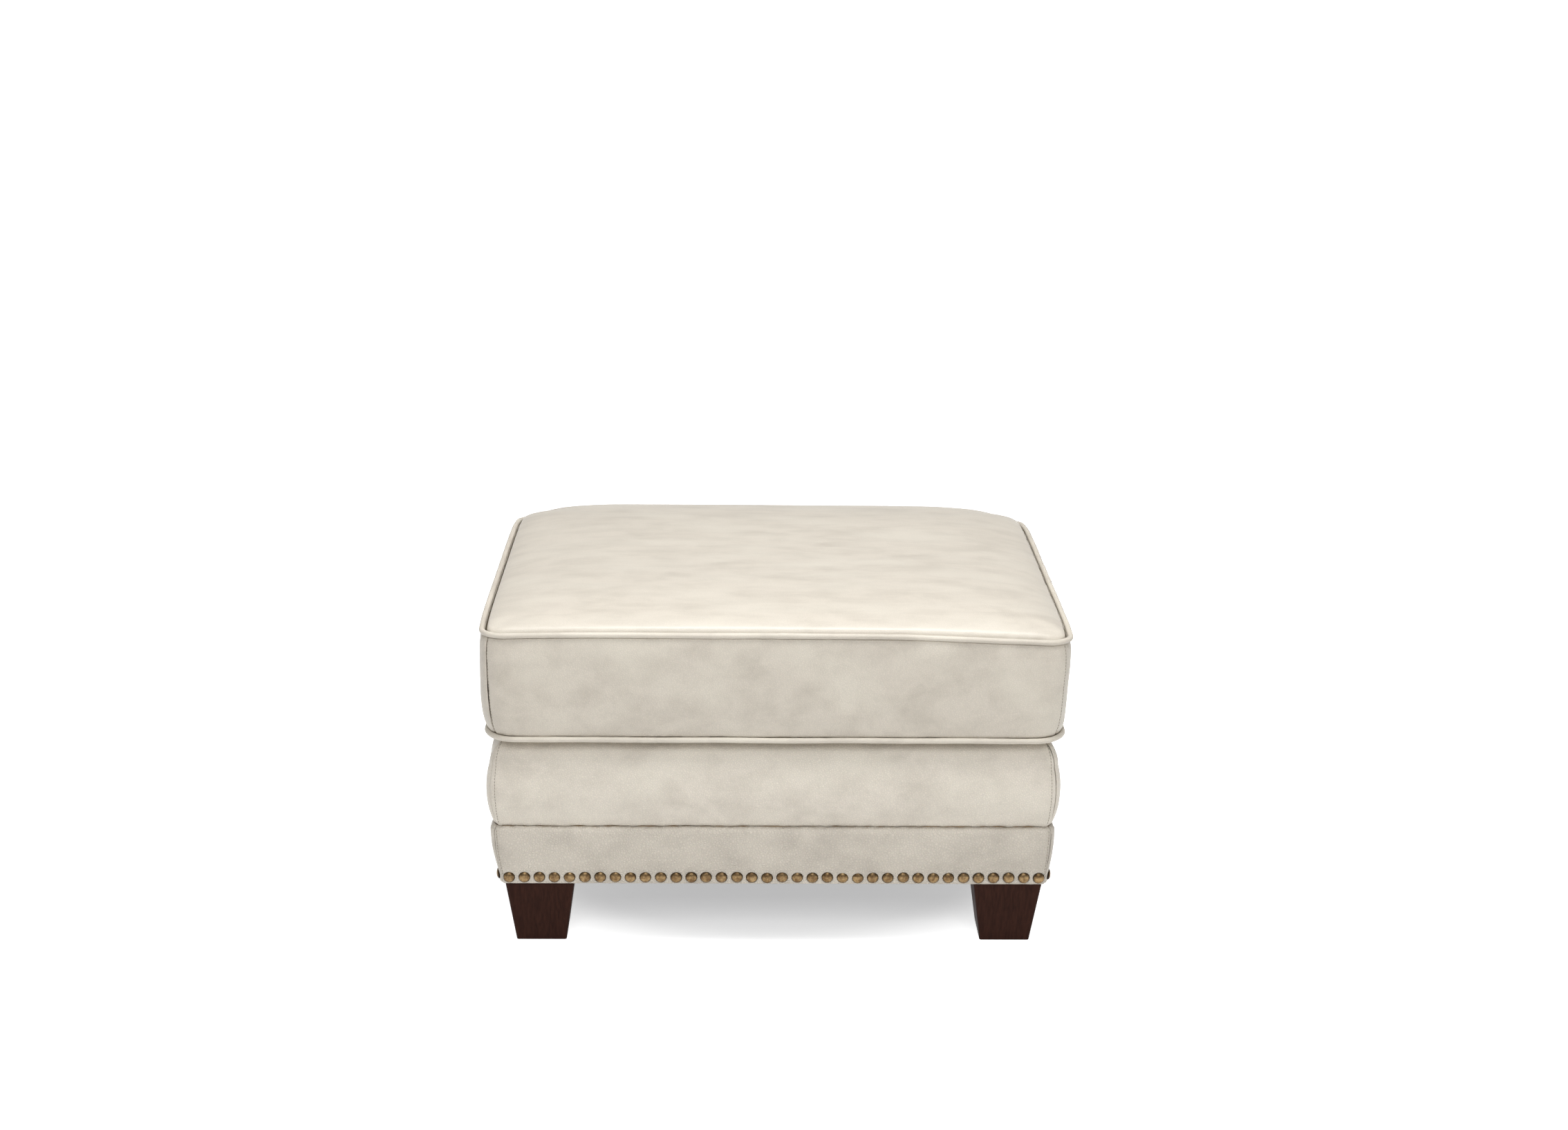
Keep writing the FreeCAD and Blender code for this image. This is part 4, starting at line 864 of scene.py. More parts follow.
def from_mitres(points: np.ndarray) -> np.ndarray:
    """Measure along each row how far each point is from the nearer end.

    Args:
        points: (rows, columns, 3) places.

    Returns:
        (rows, columns) distances.
    """
    steps = np.linalg.norm(np.diff(points, axis=1), axis=-1)
    run = np.concatenate([np.zeros((len(points), 1)), np.cumsum(steps, axis=1)], axis=1)
    return np.minimum(run, run[:, -1:] - run)


def ring_grid(half_x: np.ndarray, half_y: np.ndarray, radius: np.ndarray, height: np.ndarray) -> np.ndarray:
    """Place a closed ring round the stool from its section.

    Args:
        half_x: Half the ring's size along X for each point of the section.
        half_y: Half its size along Y.
        radius: Its corners' radius.
        height: Its z.

    Returns:
        (points of the section, points round the stool, 3) places.
    """
    sides = []
    for side in Side:
        straight = 2 * float(side.pick(half_x, half_y)[0])
        strip = Strip.plan(side, straight, bends=6, fine=3 * MM, coarse=20 * MM)
        sides.append(strip.points(half_x, half_y, radius, height)[:, :-1])
    return np.concatenate(sides, axis=1)


def stitched_line(points: np.ndarray, outward: np.ndarray, pitch: float) -> tuple[np.ndarray, ...]:
    """Space stitches along a line on a surface.

    Args:
        points: (n, 3) places along the line.
        outward: (n, 3) the surface's normals there.
        pitch: Distance from stitch to stitch.

    Returns:
        The stitches' centres, directions and normals.
    """
    run = np.concatenate([[0], np.cumsum(np.linalg.norm(np.diff(points, axis=0), axis=1))])
    at = np.arange(pitch / 2, run[-1], pitch)
    centres, ahead, behind, facing = (
        np.stack([np.interp(place, run, values[:, k]) for k in range(3)], axis=1)
        for place, values in ((at, points), (at + pitch / 4, points), (at - pitch / 4, points), (at, outward))
    )
    return centres, ahead - behind, facing


@dataclass
class Stitching:
    """Topstitches, collected from the seams and made as one piece for each body."""

    pitch: float = 4.2 * MM
    length: float = 3.1 * MM
    thread: float = 0.42 * MM
    tip_share: float = 0.45
    full_share: float = 0.7
    proud: float = 0.1 * MM
    lines: dict[str, list[tuple[np.ndarray, ...]]] = field(default_factory=dict)

    def add(self, body: str, points: np.ndarray, outward: np.ndarray) -> None:
        """Keep a line of stitches for a body."""
        self.lines.setdefault(body, []).append(stitched_line(points, outward, self.pitch))

    def sew(self, body: str, points: np.ndarray, from_seam: float, rows: slice) -> None:
        """Sew a line at both ends of a wall, at a distance from its mitres.

        Args:
            body: The body that the wall rides on.
            points: The wall's grid.
            from_seam: Distance of the stitches from the mitre.
            rows: The rows that the line runs over.
        """
        outward = normals(points)
        away = from_mitres(points).mean(axis=0)
        middle = points.shape[1] // 2
        left = int(np.argmin(np.abs(away[:middle] - from_seam)))
        right = middle + int(np.argmin(np.abs(away[middle:] - from_seam)))
        for column in (left, right):
            self.add(body, points[rows, column], outward[rows, column])

    def build(self) -> None:
        """Make the stitches: short rods with tapered ends, half sunk in the leather."""
        reach = self.length / 2
        radii = np.array([self.tip_share, 1.0, 1.0, self.tip_share]) * self.thread
        levels = np.array([-reach, -self.full_share * reach, self.full_share * reach, reach])
        form, faces = turned_form(radii, levels, sides=6)
        lying = form[:, [2, 1, 0]] * np.array([1, 1, -1])
        for body, lines in self.lines.items():
            centres, along, outward = (np.concatenate(part) for part in zip(*lines))
            centres = centres + outward * self.proud
            piece = set_of_forms(f"{body}_topstitching", lying, faces, centres, along, outward, THREAD)
            dress(piece, body)


# The covered base


@dataclass
class CoveredBase:
    """The base's leather: an upper border over padding and a lower band over batting.

    Rows are given by how far they lie outside the band's face and by their height. The lip, junction,
    shoulder_z and seat are heights above the floor. What ends in _in is measured inwards, and what
    ends in _run is the distance over which a form comes or goes.
    """

    band_x: float
    band_y: float
    lip: float
    junction: float
    shoulder_z: float
    seat: float
    shoulder_in: float = 32.6 * MM
    edge_roll: float = 28 * MM
    rim_width: float = 50 * MM
    lip_width: float = 26.6 * MM
    lip_edge: float = 3 * MM
    corner: float = 13 * MM
    least_corner: float = 2 * MM
    leather: float = 1.6 * MM
    slack: float = 0.9 * MM
    bulge: float = 8.5 * MM
    step: float = 1.5 * MM
    tuck: float = 1.5 * MM
    foot_groove: float = 2.6 * MM
    foot_groove_run: float = 3.2 * MM
    band_swell: float = 6.0 * MM
    band_swell_run: float = 73 * MM
    band_roll_in: float = 5.6 * MM
    band_roll_in_run: float = 8.4 * MM
    frame_in: float = 4.6 * MM
    fuller_left: float = 3.9 * MM
    fuller_right: float = 0.3 * MM
    fuller_share: float = 0.2
    face_rows: int = 34
    turn_rows: int = 21

    @classmethod
    def from_frame(cls) -> "CoveredBase":
        """Take the base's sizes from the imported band, border and edge roll.

        Returns:
            The base.
        """
        low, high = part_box("band_front")
        _, border_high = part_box("border_front")
        _, roll_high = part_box("edge_roll")
        shoulder = border_high.z - roll_high.z + cls.edge_roll
        return cls(-low.x, -low.y, low.z, high.z, border_high.z - shoulder, border_high.z)

    @property
    def shoulder(self) -> float:
        """Radius of the leather's shoulder."""
        return self.seat - self.shoulder_z

    def corner_at(self, outside: np.ndarray) -> np.ndarray:
        """Corner radius of a row: it shrinks by as much as the row lies further in, down to the least."""
        return np.maximum(self.corner + outside, self.least_corner)

    def wall(self, side: Side, outside: np.ndarray, height: np.ndarray) -> np.ndarray:
        """Place a wall's rows on one side.

        Args:
            side: Which side.
            outside: How far each row lies outside the band's face.
            height: Its z.

        Returns:
            (rows, columns, 3) places.
        """
        straight = 2 * (side.pick(self.band_x, self.band_y) - self.corner)
        strip = Strip.plan(side, straight, bends=9, fine=1.2 * MM, coarse=3.4 * MM)
        return strip.points(self.band_x + outside, self.band_y + outside, self.corner_at(outside), height)

    def fuller(self, points: np.ndarray) -> np.ndarray:
        """Fill the left and right sides out, as the padding has settled.

        The shift comes in smoothly over the last fifth of x, and over 50 mm of height from 6 mm above
        the band's lower edge.

        Args:
            points: Places before the shift.

        Returns:
            The shifted places.
        """
        last = (np.abs(points[..., 0]) / self.band_x - (1 - self.fuller_share)) / self.fuller_share
        up_band = (points[..., 2] - self.lip - 6 * MM) / (50 * MM)
        most = np.where(points[..., 0] < 0, -self.fuller_left, self.fuller_right)
        filled = points.copy()
        filled[..., 0] += most * smooth(last) * smooth(up_band)
        return filled

    def border_rows(self) -> tuple[np.ndarray, np.ndarray]:
        """The border's section: a tucked foot, the bulge, the shoulder's quarter circle and the rim.

        The bulge is the straight line from foot to shoulder plus 4 b w (1 - w), w from 0 to 1, less a
        groove at the foot.

        Returns:
            How far each row lies outside the band's face, and its height.
        """
        top = self.shoulder - self.shoulder_in
        rise = self.shoulder_z - self.junction
        share = np.linspace(0, 1, self.face_rows)
        deep = self.bulge - (top - self.step) / 2
        face = self.step + (top - self.step) * share + 4 * deep * share * (1 - share)
        face -= self.foot_groove * np.exp(-share * rise / self.foot_groove_run)
        turn = np.linspace(0, math.pi / 2, self.turn_rows + 1)[1:]
        rim = np.linspace(0, self.rim_width, 14)[1:]
        hidden, start = 0.8 * MM, 0.2 * MM
        outside = np.concatenate([
            [face[0] - self.tuck], face, self.shoulder * np.cos(turn) - self.shoulder_in,
            -self.shoulder_in - rim,
        ])
        height = np.concatenate([
            [self.junction - hidden], self.junction + start + share * (rise - start),
            self.shoulder_z + self.shoulder * np.sin(turn), np.full(len(rim), self.seat),
        ])
        return outside, height

    def band_rows(self) -> tuple[np.ndarray, np.ndarray]:
        """The band's section: the lip under the frame, the bottom edge and a face that swells upwards.

        The face swells as the 1.3th power of a quarter sine and rolls in at the top by a power of 2.2.

        Returns:
            How far each row lies outside the band's face, and its height.
        """
        edge = self.lip_edge
        lip = np.linspace(self.lip_width, edge, 6)[:-1]
        turn = np.linspace(0, math.pi / 2, 6)[:-1]
        face = np.linspace(self.lip + edge, self.junction + 0.4 * MM, self.face_rows)
        up = np.clip((face - self.lip - 5 * MM) / self.band_swell_run, 0, 1)
        inward = np.clip((face - self.junction + 8 * MM) / self.band_roll_in_run, 0, 1)
        swell = self.band_swell * np.sin(up * math.pi / 2) ** 1.3 - self.band_roll_in * inward ** 2.2
        outside = np.concatenate([-lip, -edge + edge * np.sin(turn), swell])
        height = np.concatenate([np.full(len(lip), self.lip), self.lip + edge - edge * np.cos(turn), face])
        return outside, height

    def build_border(self, side: Side, stitching: Stitching) -> None:
        """One side of the upper border, with a felled seam at the corners of the front and back.

        The rim lies flat under the cushion, so only its creases are kept, and those faintly.

        Args:
            side: Which side.
            stitching: Takes the seams' stitches.
        """
        points = self.fuller(self.wall(side, *self.border_rows()))
        away = from_mitres(points)
        up_seam = np.clip(points[..., 2] - self.junction, 0, None)
        from_rim = self.seat - points[..., 2]
        relief = 0.9 * MM * waves(points, length_mm=150, seed=Seed.BORDER_WAVES + side.value)
        relief += 0.35 * MM * waves(points, length_mm=55, seed=Seed.BORDER_RIPPLES + side.value)
        relief *= smooth(up_seam / (25 * MM)) * smooth(from_rim / (20 * MM) + 0.15)
        seed = Seed.BORDER_GATHERS + side.value
        relief += 0.45 * MM * gathers(points, up_seam, length_mm=16, fade_mm=7, seed=seed)
        relief += ridge(away, height_mm=-1.0, width_mm=1.1)
        if side.felled:
            relief += ridge(away, height_mm=0.75, width_mm=2.3, at_mm=3.6)
        kept_on_rim = 0.3
        relief = np.where(from_rim < 1 * MM, np.minimum(relief, 0) * kept_on_rim, relief)
        points = raised(points, relief)
        foot_to_shoulder = slice(3, self.face_rows + self.turn_rows - 1)
        if side.felled:
            stitching.sew("base", points, 5.2 * MM, foot_to_shoulder)
        # Its paler hide is painted light.
        piece = grid_piece(f"border_leather_{side.word}", points, BORDER_LEATHER_PAINTED_LIGHTER, thickness=self.leather)
        dress(piece, "base", [f"border_{side.word}"])

    def build_band(self, side: Side, stitching: Stitching, nails: np.ndarray) -> None:
        """One side of the lower band, pulled in a little round each nail.

        Args:
            side: Which side.
            stitching: Takes the seams' stitches.
            nails: (nails, 3) places of this side's nails.
        """
        points = self.fuller(self.wall(side, *self.band_rows()))
        away = from_mitres(points)
        on_face = smooth((points[..., 2] - self.lip) / (6 * MM))
        below = np.clip(self.junction - points[..., 2], 0, None)
        from_nail = np.linalg.norm(points[None] - nails[:, None, None, :], axis=-1).min(axis=0)
        relief = 0.5 * MM * waves(points, length_mm=90, seed=Seed.BAND_WAVES + side.value) * on_face
        seed = Seed.BAND_GATHERS + side.value
        relief += 0.4 * MM * gathers(points, below, length_mm=14, fade_mm=8, seed=seed)
        relief += ridge(away, height_mm=-0.9, width_mm=1.1)
        if side.felled:
            relief += ridge(away, height_mm=0.5, width_mm=2.2, at_mm=3.2)
        relief += ridge(from_nail, height_mm=-0.7, width_mm=10)
        points = raised(points, relief)
        nails_to_junction = slice(14, -2)
        if side.felled:
            stitching.sew("base", points, 4.4 * MM, nails_to_junction)
        piece = grid_piece(f"band_leather_{side.word}", points, BAND_LEATHER, thickness=self.leather)
        dress(piece, "base", [f"band_{side.word}"])

    def ring(
        self, name: str, outside: Sequence[float], height: Sequence[float], finish: Finish
    ) -> bpy.types.Object:
        """Make a padding ring whose round corners keep inside the leather.

        Args:
            name: The piece's name.
            outside: How far each point of its section lies outside the band's face.
            height: Its z.
            finish: What it is made of.

        Returns:
            The object.
        """
        out = np.array(outside)
        points = ring_grid(self.band_x + out, self.band_y + out, self.corner_at(out), np.array(height))
        on_frame = (out <= -self.frame_in)[:, None, None]
        points = np.where(on_frame, points, self.fuller(points))
        return grid_piece(name, points, finish, ring_rows=True, ring_columns=True)

    def build_padding(self) -> None:
        """The padding over the edge roll, the card strip and the batting under the band."""
        skin = self.leather + self.slack
        foot = self.junction + 1 * MM
        outside, height = self.border_rows()
        keep = (height > foot) & (outside > -self.shoulder_in - 8 * MM)
        outer, levels = outside[keep][::2], height[keep][::2]
        turn = np.linspace(math.pi / 2, 0, 9)
        section_out = np.concatenate([
            outer - skin, self.edge_roll * np.cos(turn) - self.shoulder_in, [-self.frame_in],
        ])
        section_up = np.concatenate([
            levels - np.where(outer < 0, skin, 0), self.shoulder_z + self.edge_roll * np.sin(turn), [foot],
        ])
        ring = self.ring("border_wadding", section_out, section_up, WADDING)
        dress(ring, "base", ["border_padding"])
        section_out = (-self.leather, -self.leather, -self.frame_in, -self.frame_in)
        for name, node, finish, slot, fill in (
            ("tack_card", "card_strip", CARD, "card", None),
            ("band_wadding", "band_batting", WADDING, "fibre", 0.3),
        ):
            low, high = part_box(node)
            ring = self.ring(name, section_out, (low.z, high.z, high.z, low.z), finish)
            dress(ring, "base", [node])


@dataclass
class NailRow:
    """Domed brass nails along the band, on the places that the frame gives them."""

    band_x: float
    band_y: float
    level: float
    head: float = 8 * MM
    rim_share: float = 0.96
    sunk: float = 0.7 * MM
    dome: float = 3.9 * MM
    dome_levels: tuple[float, ...] = (0, 14, 32, 50, 67, 81)
    first: float = 13.75 * MM
    pitch: float = 20.1 * MM
    stray: float = 0.25 * MM
    lean: float = 0.03

    def side_places(self, side: Side) -> np.ndarray:
        """Space the nails of one side evenly between the first and the last.

        Args:
            side: Which side.

        Returns:
            (nails, 3) places.
        """
        half, away = side.pick((self.band_x, self.band_y), (self.band_y, self.band_x))
        span = 2 * (half - self.first)
        along = np.linspace(-span / 2, span / 2, round(span / self.pitch) + 1)
        cos, sin = math.cos(side.turn), math.sin(side.turn)
        level = np.full(len(along), self.level)
        return np.stack([along * cos + away * sin, along * sin - away * cos, level], axis=1)

    def build(self) -> None:
        """Make all heads: an ellipse's quarter turned round, each head set a little differently."""
        turn = np.radians(self.dome_levels)
        radii = np.concatenate([[self.head * self.rim_share], self.head * np.cos(turn)])
        heights = np.concatenate([[-self.sunk], self.dome * np.sin(turn)])
        form, faces = turned_form(radii, heights, sides=14)
        places, facing = [], []
        for side in Side:
            places.append(self.side_places(side))
            facing.append(np.tile([math.sin(side.turn), -math.cos(side.turn), 0.0], (len(places[-1]), 1)))
        centres, outward = np.concatenate(places), np.concatenate(facing)
        across = np.cross(outward, UP)
        rng = np.random.default_rng(Seed.NAILS)
        each = (len(centres), 1)
        aside = rng.normal(size=each) * across
        centres = centres + self.stray * (aside + rng.normal(size=each) * UP)
        outward = outward + self.lean * rng.normal(size=outward.shape)
        spin = rng.uniform(0, math.pi, size=each)
        along = np.cos(spin) * across + np.sin(spin) * UP
        piece = set_of_forms("brass_nails", form, faces, centres, along, outward, BRASS)
        # Share from rim to top: rubbed wear on the dome, and painted shadow with patina at the rim.
        rubbed = np.clip(form[:, 2] / self.dome, 0, 1)
        rubbed_and_painted_rim_shadow = piece.data.attributes.new("rubbed", "FLOAT", "POINT")
        rubbed_and_painted_rim_shadow.data.foreach_set("value", np.tile(rubbed, len(centres)).astype(np.float32))
        dress(piece, "base", ["cover_nails"])


# The loose cushion


def square_to_round(
    u: np.ndarray, v: np.ndarray, half_x: float, half_y: float, front: float, rear: float
) -> tuple[np.ndarray, ...]:
    """Map a square grid onto a rectangle with round corners.

    Each square ring max(|u|, |v|) = k goes to the ring k times as large as the outline: along each
    side, distance from the side's middle is kept as a share of the side's length up to the mitre.

    Args:
        u: Across, from -1 to 1.
        v: Along, from -1 to 1.
        half_x: Half the outline's size along X.
        half_y: Half its size along Y.
        front: Radius of its front corners.
        rear: Radius of its rear corners.

    Returns:
        x and y.
    """
    ring = np.maximum(np.maximum(np.abs(u), np.abs(v)), TINY)
    radius = front + (rear - front) * smooth((v / ring + 1) / 2)

    def along_side(
        lead: np.ndarray, other: np.ndarray, half_lead: float, half_other: float
    ) -> tuple[np.ndarray, np.ndarray]:
        """Place the points of the two sides that face along one axis.

        Args:
            lead: Share along the axis that the sides face.
            other: Share along the sides.
            half_lead: Half the outline's size along the first axis.
            half_other: Half its size along the second.

        Returns:
            Places along both axes.
        """
        size = np.maximum(np.abs(lead), TINY)
        straight = (half_other - radius) * size
        run = np.abs(other) / size * (straight + MITRE * radius * size)
        angle = np.clip((run - straight) / (radius * size), 0, MITRE)
        out = (half_lead - radius + radius * np.cos(angle)) * size
        side = np.minimum(run, straight) + radius * size * np.sin(angle)
        return np.sign(lead) * out, np.sign(other) * side

    wide_x, wide_y = along_side(u, v, half_x, half_y)
    deep_y, deep_x = along_side(v, u, half_y, half_x)
    across = np.abs(u) >= np.abs(v)
    return np.where(across, wide_x, deep_x), np.where(across, wide_y, deep_y)


def graded(half: float, fine: float, coarse: float, growth: float = 1.25) -> np.ndarray:
    """Space points from -half to half: finely at the ends, each step growing to the coarse one.

    Args:
        half: Half the length.
        fine: The first step.
        coarse: The widest step.
        growth: How many times as long each step is as the one before.

    Returns:
        The points' places.
    """
    enough = 400
    steps = np.minimum(fine * growth ** np.arange(enough), coarse)
    run = np.concatenate([[0], np.cumsum(steps)])
    run = run[run < half] * (1 - 0.5 * coarse / half)
    left = run - half
    return np.concatenate([left, [0.0], -left[::-1]])


def graded_square(half_x: float, half_y: float, fine: float, coarse: float) -> Sequence[np.ndarray]:
    """Space a square grid's shares from -1 to 1, finely at its edges, for a piece of the given size."""
    return np.meshgrid(graded(half_x, fine, coarse) / half_x, graded(half_y, fine, coarse) / half_y)


class Seam(Enum):
    """The cushion's two piped seams."""

    TOP = "top"
    BOTTOM = "bottom"


@dataclass
class LooseCushion:
    """The boxed and piped cushion: a crowned top, four boxing walls, a flat bottom and two pipings.

    The laps are x and y of the joints in each piping's leather. A tooth is a stack of four rectangles,
    each given by its level and half width in millimetres and its share of the chain's depth.
    """

    seam_x: float
    seam_y: float
    top_seam: float
    low_seam: float
    bottom: float
    crown: float
    crown_run: float
    welt: float
    crown_share: float = 0.6
    cord: float = 2.3 * MM
    top_corner: float = 27 * MM
    rear_corner: float = 50 * MM
    low_corner: float = 40 * MM
    front_hump: float = 3.8 * MM
    front_ease: float = 4.3 * MM
    rear_droop: float = 18 * MM
    droop_share: float = 0.4
    side_bow: float = 4.8 * MM
    leather: float = 1.6 * MM
    off_piping: float = 2.6 * MM
    wall_in: float = 3.2 * MM
    wall_swell: tuple[float, ...] = (7.4 * MM, 5.6 * MM, 6.8 * MM, 8.0 * MM)
    zip_half_right: float = 322 * MM
    zip_half_left: float = 338 * MM
    zip_closed: float = 0.25 * MM
    zip_opening: float = 5.2 * MM
    zip_level_half: float = 352 * MM
    zip_level_top: float = 0.58
    tape: float = 0.7 * MM
    tape_extra: float = 8 * MM
    lap_rise: float = 0.45 * MM
    lap_run: float = 28 * MM
    top_laps: tuple[tuple[float, float], ...] = ((-0.002, -0.305), (0.38, -0.05))
    bottom_laps: tuple[tuple[float, float], ...] = ((0.1, 0.305),)
    tooth: tuple[tuple[float, float, float], ...] = (
        (-2.3, 0.45, 0.7), (-1.2, 0.6, 1.0), (0.4, 0.42, 0.85), (2.6, 0.55, 1.0),
    )
    tooth_pitch: float = 2.5 * MM

    @classmethod
    def from_frame(cls) -> "LooseCushion":
        """Take the cushion's sizes from its piping and panels in the frame.

        Returns:
            The cushion.
        """
        low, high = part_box("top_welt")
        welt = (high.z - low.z) / 2
        below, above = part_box("bottom_welt")
        _, crown_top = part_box("top_panel")
        bottom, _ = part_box("bottom_panel")
        top_seam = (low.z + high.z) / 2
        return cls(
            seam_x=high.x - welt, seam_y=high.y - welt, top_seam=top_seam, low_seam=(below.z + above.z) / 2,
            bottom=bottom.z, crown=crown_top.z - top_seam, crown_run=cls.crown_share * crown_top.y, welt=welt,
        )

    @property
    def wall_ends(self) -> tuple[float, float]:
        """The heights between which the boxing walls run."""
        return self.low_seam + self.off_piping, self.top_seam - self.off_piping

    def sag(self, x: np.ndarray, y: np.ndarray, inside: Union[float, np.ndarray] = 0.0) -> np.ndarray:
        """How far the upper seam lies above its level, as sewn and as it has settled.

        At the front it is a parabola of 3.8 mm about x = -60 mm, less a 4.3 mm ease to the right, which
        fades to the back and inwards. Each rear corner droops by the product of two squares.

        Args:
            x: Across.
            y: Along.
            inside: Distance from the seam.

        Returns:
            The height at each place.
        """
        hump = self.front_hump * (1 - ((x + 60 * MM) / (430 * MM)) ** 2)
        ease = self.front_ease * smooth((x - 150 * MM) / (210 * MM))
        kept_at_back = 0.3
        forward = kept_at_back + (1 - kept_at_back) * smooth((self.seam_y - y) / (1.6 * self.seam_y))
        start = 1 - self.droop_share
        out_x = np.clip((np.abs(x) / self.seam_x - start) / self.droop_share, 0, 1)
        out_y = np.clip((y / self.seam_y - start) / self.droop_share, 0, 1)
        front = (hump - ease) * forward
        return front * np.exp(-inside / (55 * MM)) - self.rear_droop * (out_x * out_y) ** 2

    def bowed(self, points: np.ndarray, share: Union[float, np.ndarray] = 1.0) -> np.ndarray:
        """Let the upper seam bow out along the left and right sides, where the filling pushes it.

        The shift is the bow times sign(x) (x / seam_x)^2 (1 - |y / seam_y|^n), n being 8 in front and 4
        at the back, where it ends sooner.

        Args:
            points: Places before the shift.
            share: How much of it each place takes.

        Returns:
            The shifted places.
        """
        across = np.clip(points[..., 0] / self.seam_x, -1, 1)
        along = np.clip(points[..., 1] / self.seam_y, -1, 1)
        shifted = points.copy()
        ending = np.abs(along) ** np.where(along < 0, 8, 4)
        shifted[..., 0] += self.side_bow * share * np.sign(across) * across ** 2 * (1 - ending)
        return shifted

    def corner_along(self, strip: Strip) -> np.ndarray:
        """Corner radius of the upper seam along a side: small in front and larger at the back.

        Args:
            strip: The side's columns.

        Returns:
            The radius at each column.
        """
        to_back = {
            Side.FRONT: np.zeros_like(strip.place), Side.RIGHT: smooth((strip.place + 1) / 2),
            Side.BACK: np.ones_like(strip.place), Side.LEFT: smooth((1 - strip.place) / 2),
        }[strip.side]
        return self.top_corner + (self.rear_corner - self.top_corner) * to_back

    def top_surface(self, inset: float, fine: float, coarse: float) -> tuple[np.ndarray, np.ndarray]:
        """The crowned top: a pillow that rises from the seam and levels out.

        Its rise is the crown times the smooth least of g(ex) and g(ey), where g(e) = sqrt(1 - (1 - q)^2)
        is a quarter ellipse, q the share e / run and e the distance from each pair of sides. The
        smooth least of a and b is a b / sqrt(a^2 + b^2 - a^2 b^2).

        Args:
            inset: How far inside the seam's line the surface ends.
            fine: Spacing of its points at the edges.
            coarse: Spacing inside.

        Returns:
            (rows, columns, 3) places, and each point's distance from the nearest side.
        """
        half_x, half_y = self.seam_x - inset, self.seam_y - inset
        u, v = graded_square(half_x, half_y, fine, coarse)
        x, y = square_to_round(u, v, half_x, half_y, self.top_corner - inset, self.rear_corner - inset)
        edge_x, edge_y = half_x * (1 - np.abs(u)), half_y * (1 - np.abs(v))
        rise = [np.sqrt(1 - (1 - np.clip(e / self.crown_run, 0, 1)) ** 2) for e in (edge_x, edge_y)]
        both = rise[0] * rise[1]
        least = both / np.sqrt(np.maximum(rise[0] ** 2 + rise[1] ** 2 - both ** 2, TINY))
        near = np.minimum(edge_x, edge_y)
        z = self.top_seam + self.sag(x, y, near) + self.crown * least - 1.2 * MM * np.exp(-near / (2 * MM))
        return self.bowed(np.stack([x, y, z], axis=-1)), near

    def build_top(self) -> None:
        """The top panel: smooth, with faint pulls at the seams and a little slack at the right."""
        points, near = self.top_surface(inset=3.9 * MM, fine=0.8 * MM, coarse=5.2 * MM)
        x, y = points[..., 0], points[..., 1]
        relief = 0.22 * MM * waves(points, length_mm=230, seed=Seed.TOP_WAVES)
        relief += 0.05 * MM * waves(points, length_mm=90, seed=Seed.TOP_RIPPLES)
        relief = smooth(near / (50 * MM)) * relief + ridge(near, height_mm=-2.2, width_mm=3.5)
        slack = smooth((x - 170 * MM) / (150 * MM)) * smooth((200 * MM - y) / (260 * MM))
        creases = waves(points, length_mm=34, seed=Seed.TOP_SLACK, stretch=(1.6, 0.35, 1))
        relief += 0.16 * MM * slack * smooth(near / (12 * MM)) * creases
        pulls = gathers(points, near, length_mm=17, fade_mm=13, seed=Seed.TOP_GATHERS)
        relief += (0.1 + 0.22 * slack) * MM * pulls * smooth(near / (2 * MM))
        piece = grid_piece("top_leather", raised(points, relief), TOP_LEATHER, thickness=self.leather)
        dress(piece, "cushion", ["top_panel"])

    def build_filling(self) -> None:
        """The fibre layer under the top panel and the foam block, both settled at the rear corners."""
        clear, least, foam_down, fibre_down = 1.6 * MM, 0.4 * MM, 4.8 * MM, 4.4 * MM
        points, near = self.top_surface(inset=5.6 * MM, fine=6 * MM, coarse=14 * MM)
        bed = points.copy()
        bed[..., 2] = self.top_seam - fibre_down + np.minimum(self.sag(bed[..., 0], bed[..., 1], near), 0)
        skin = points.copy()
        skin[..., 2] = np.maximum(points[..., 2] - self.leather - clear, bed[..., 2] + least)
        piece = pad_between("fibre_wadding", skin, bed, WADDING)
        dress(piece, "cushion", ["fibre_layer"])
        low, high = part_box("foam_core")
        u, v = graded_square(high.x, high.y, 6 * MM, 16 * MM)
        x, y = square_to_round(u, v, high.x, high.y, self.low_corner, self.rear_corner)
        block = np.stack([x, y, np.full_like(x, low.z)], axis=-1)
        face = block.copy()
        face[..., 2] = self.top_seam - foam_down + np.minimum(self.sag(x, y, inside=1.0), 0)
        piece = pad_between("foam_block", face, block, FOAM)
        dress(piece, "cushion", ["foam_core"])

    def wall_strip(self, side: Side) -> Strip:
        """Space the columns of a boxing wall."""
        straight = 2 * (side.pick(self.seam_x, self.seam_y) - self.low_corner)
        return Strip.plan(side, straight, bends=26, fine=2.4 * MM, coarse=4.2 * MM)

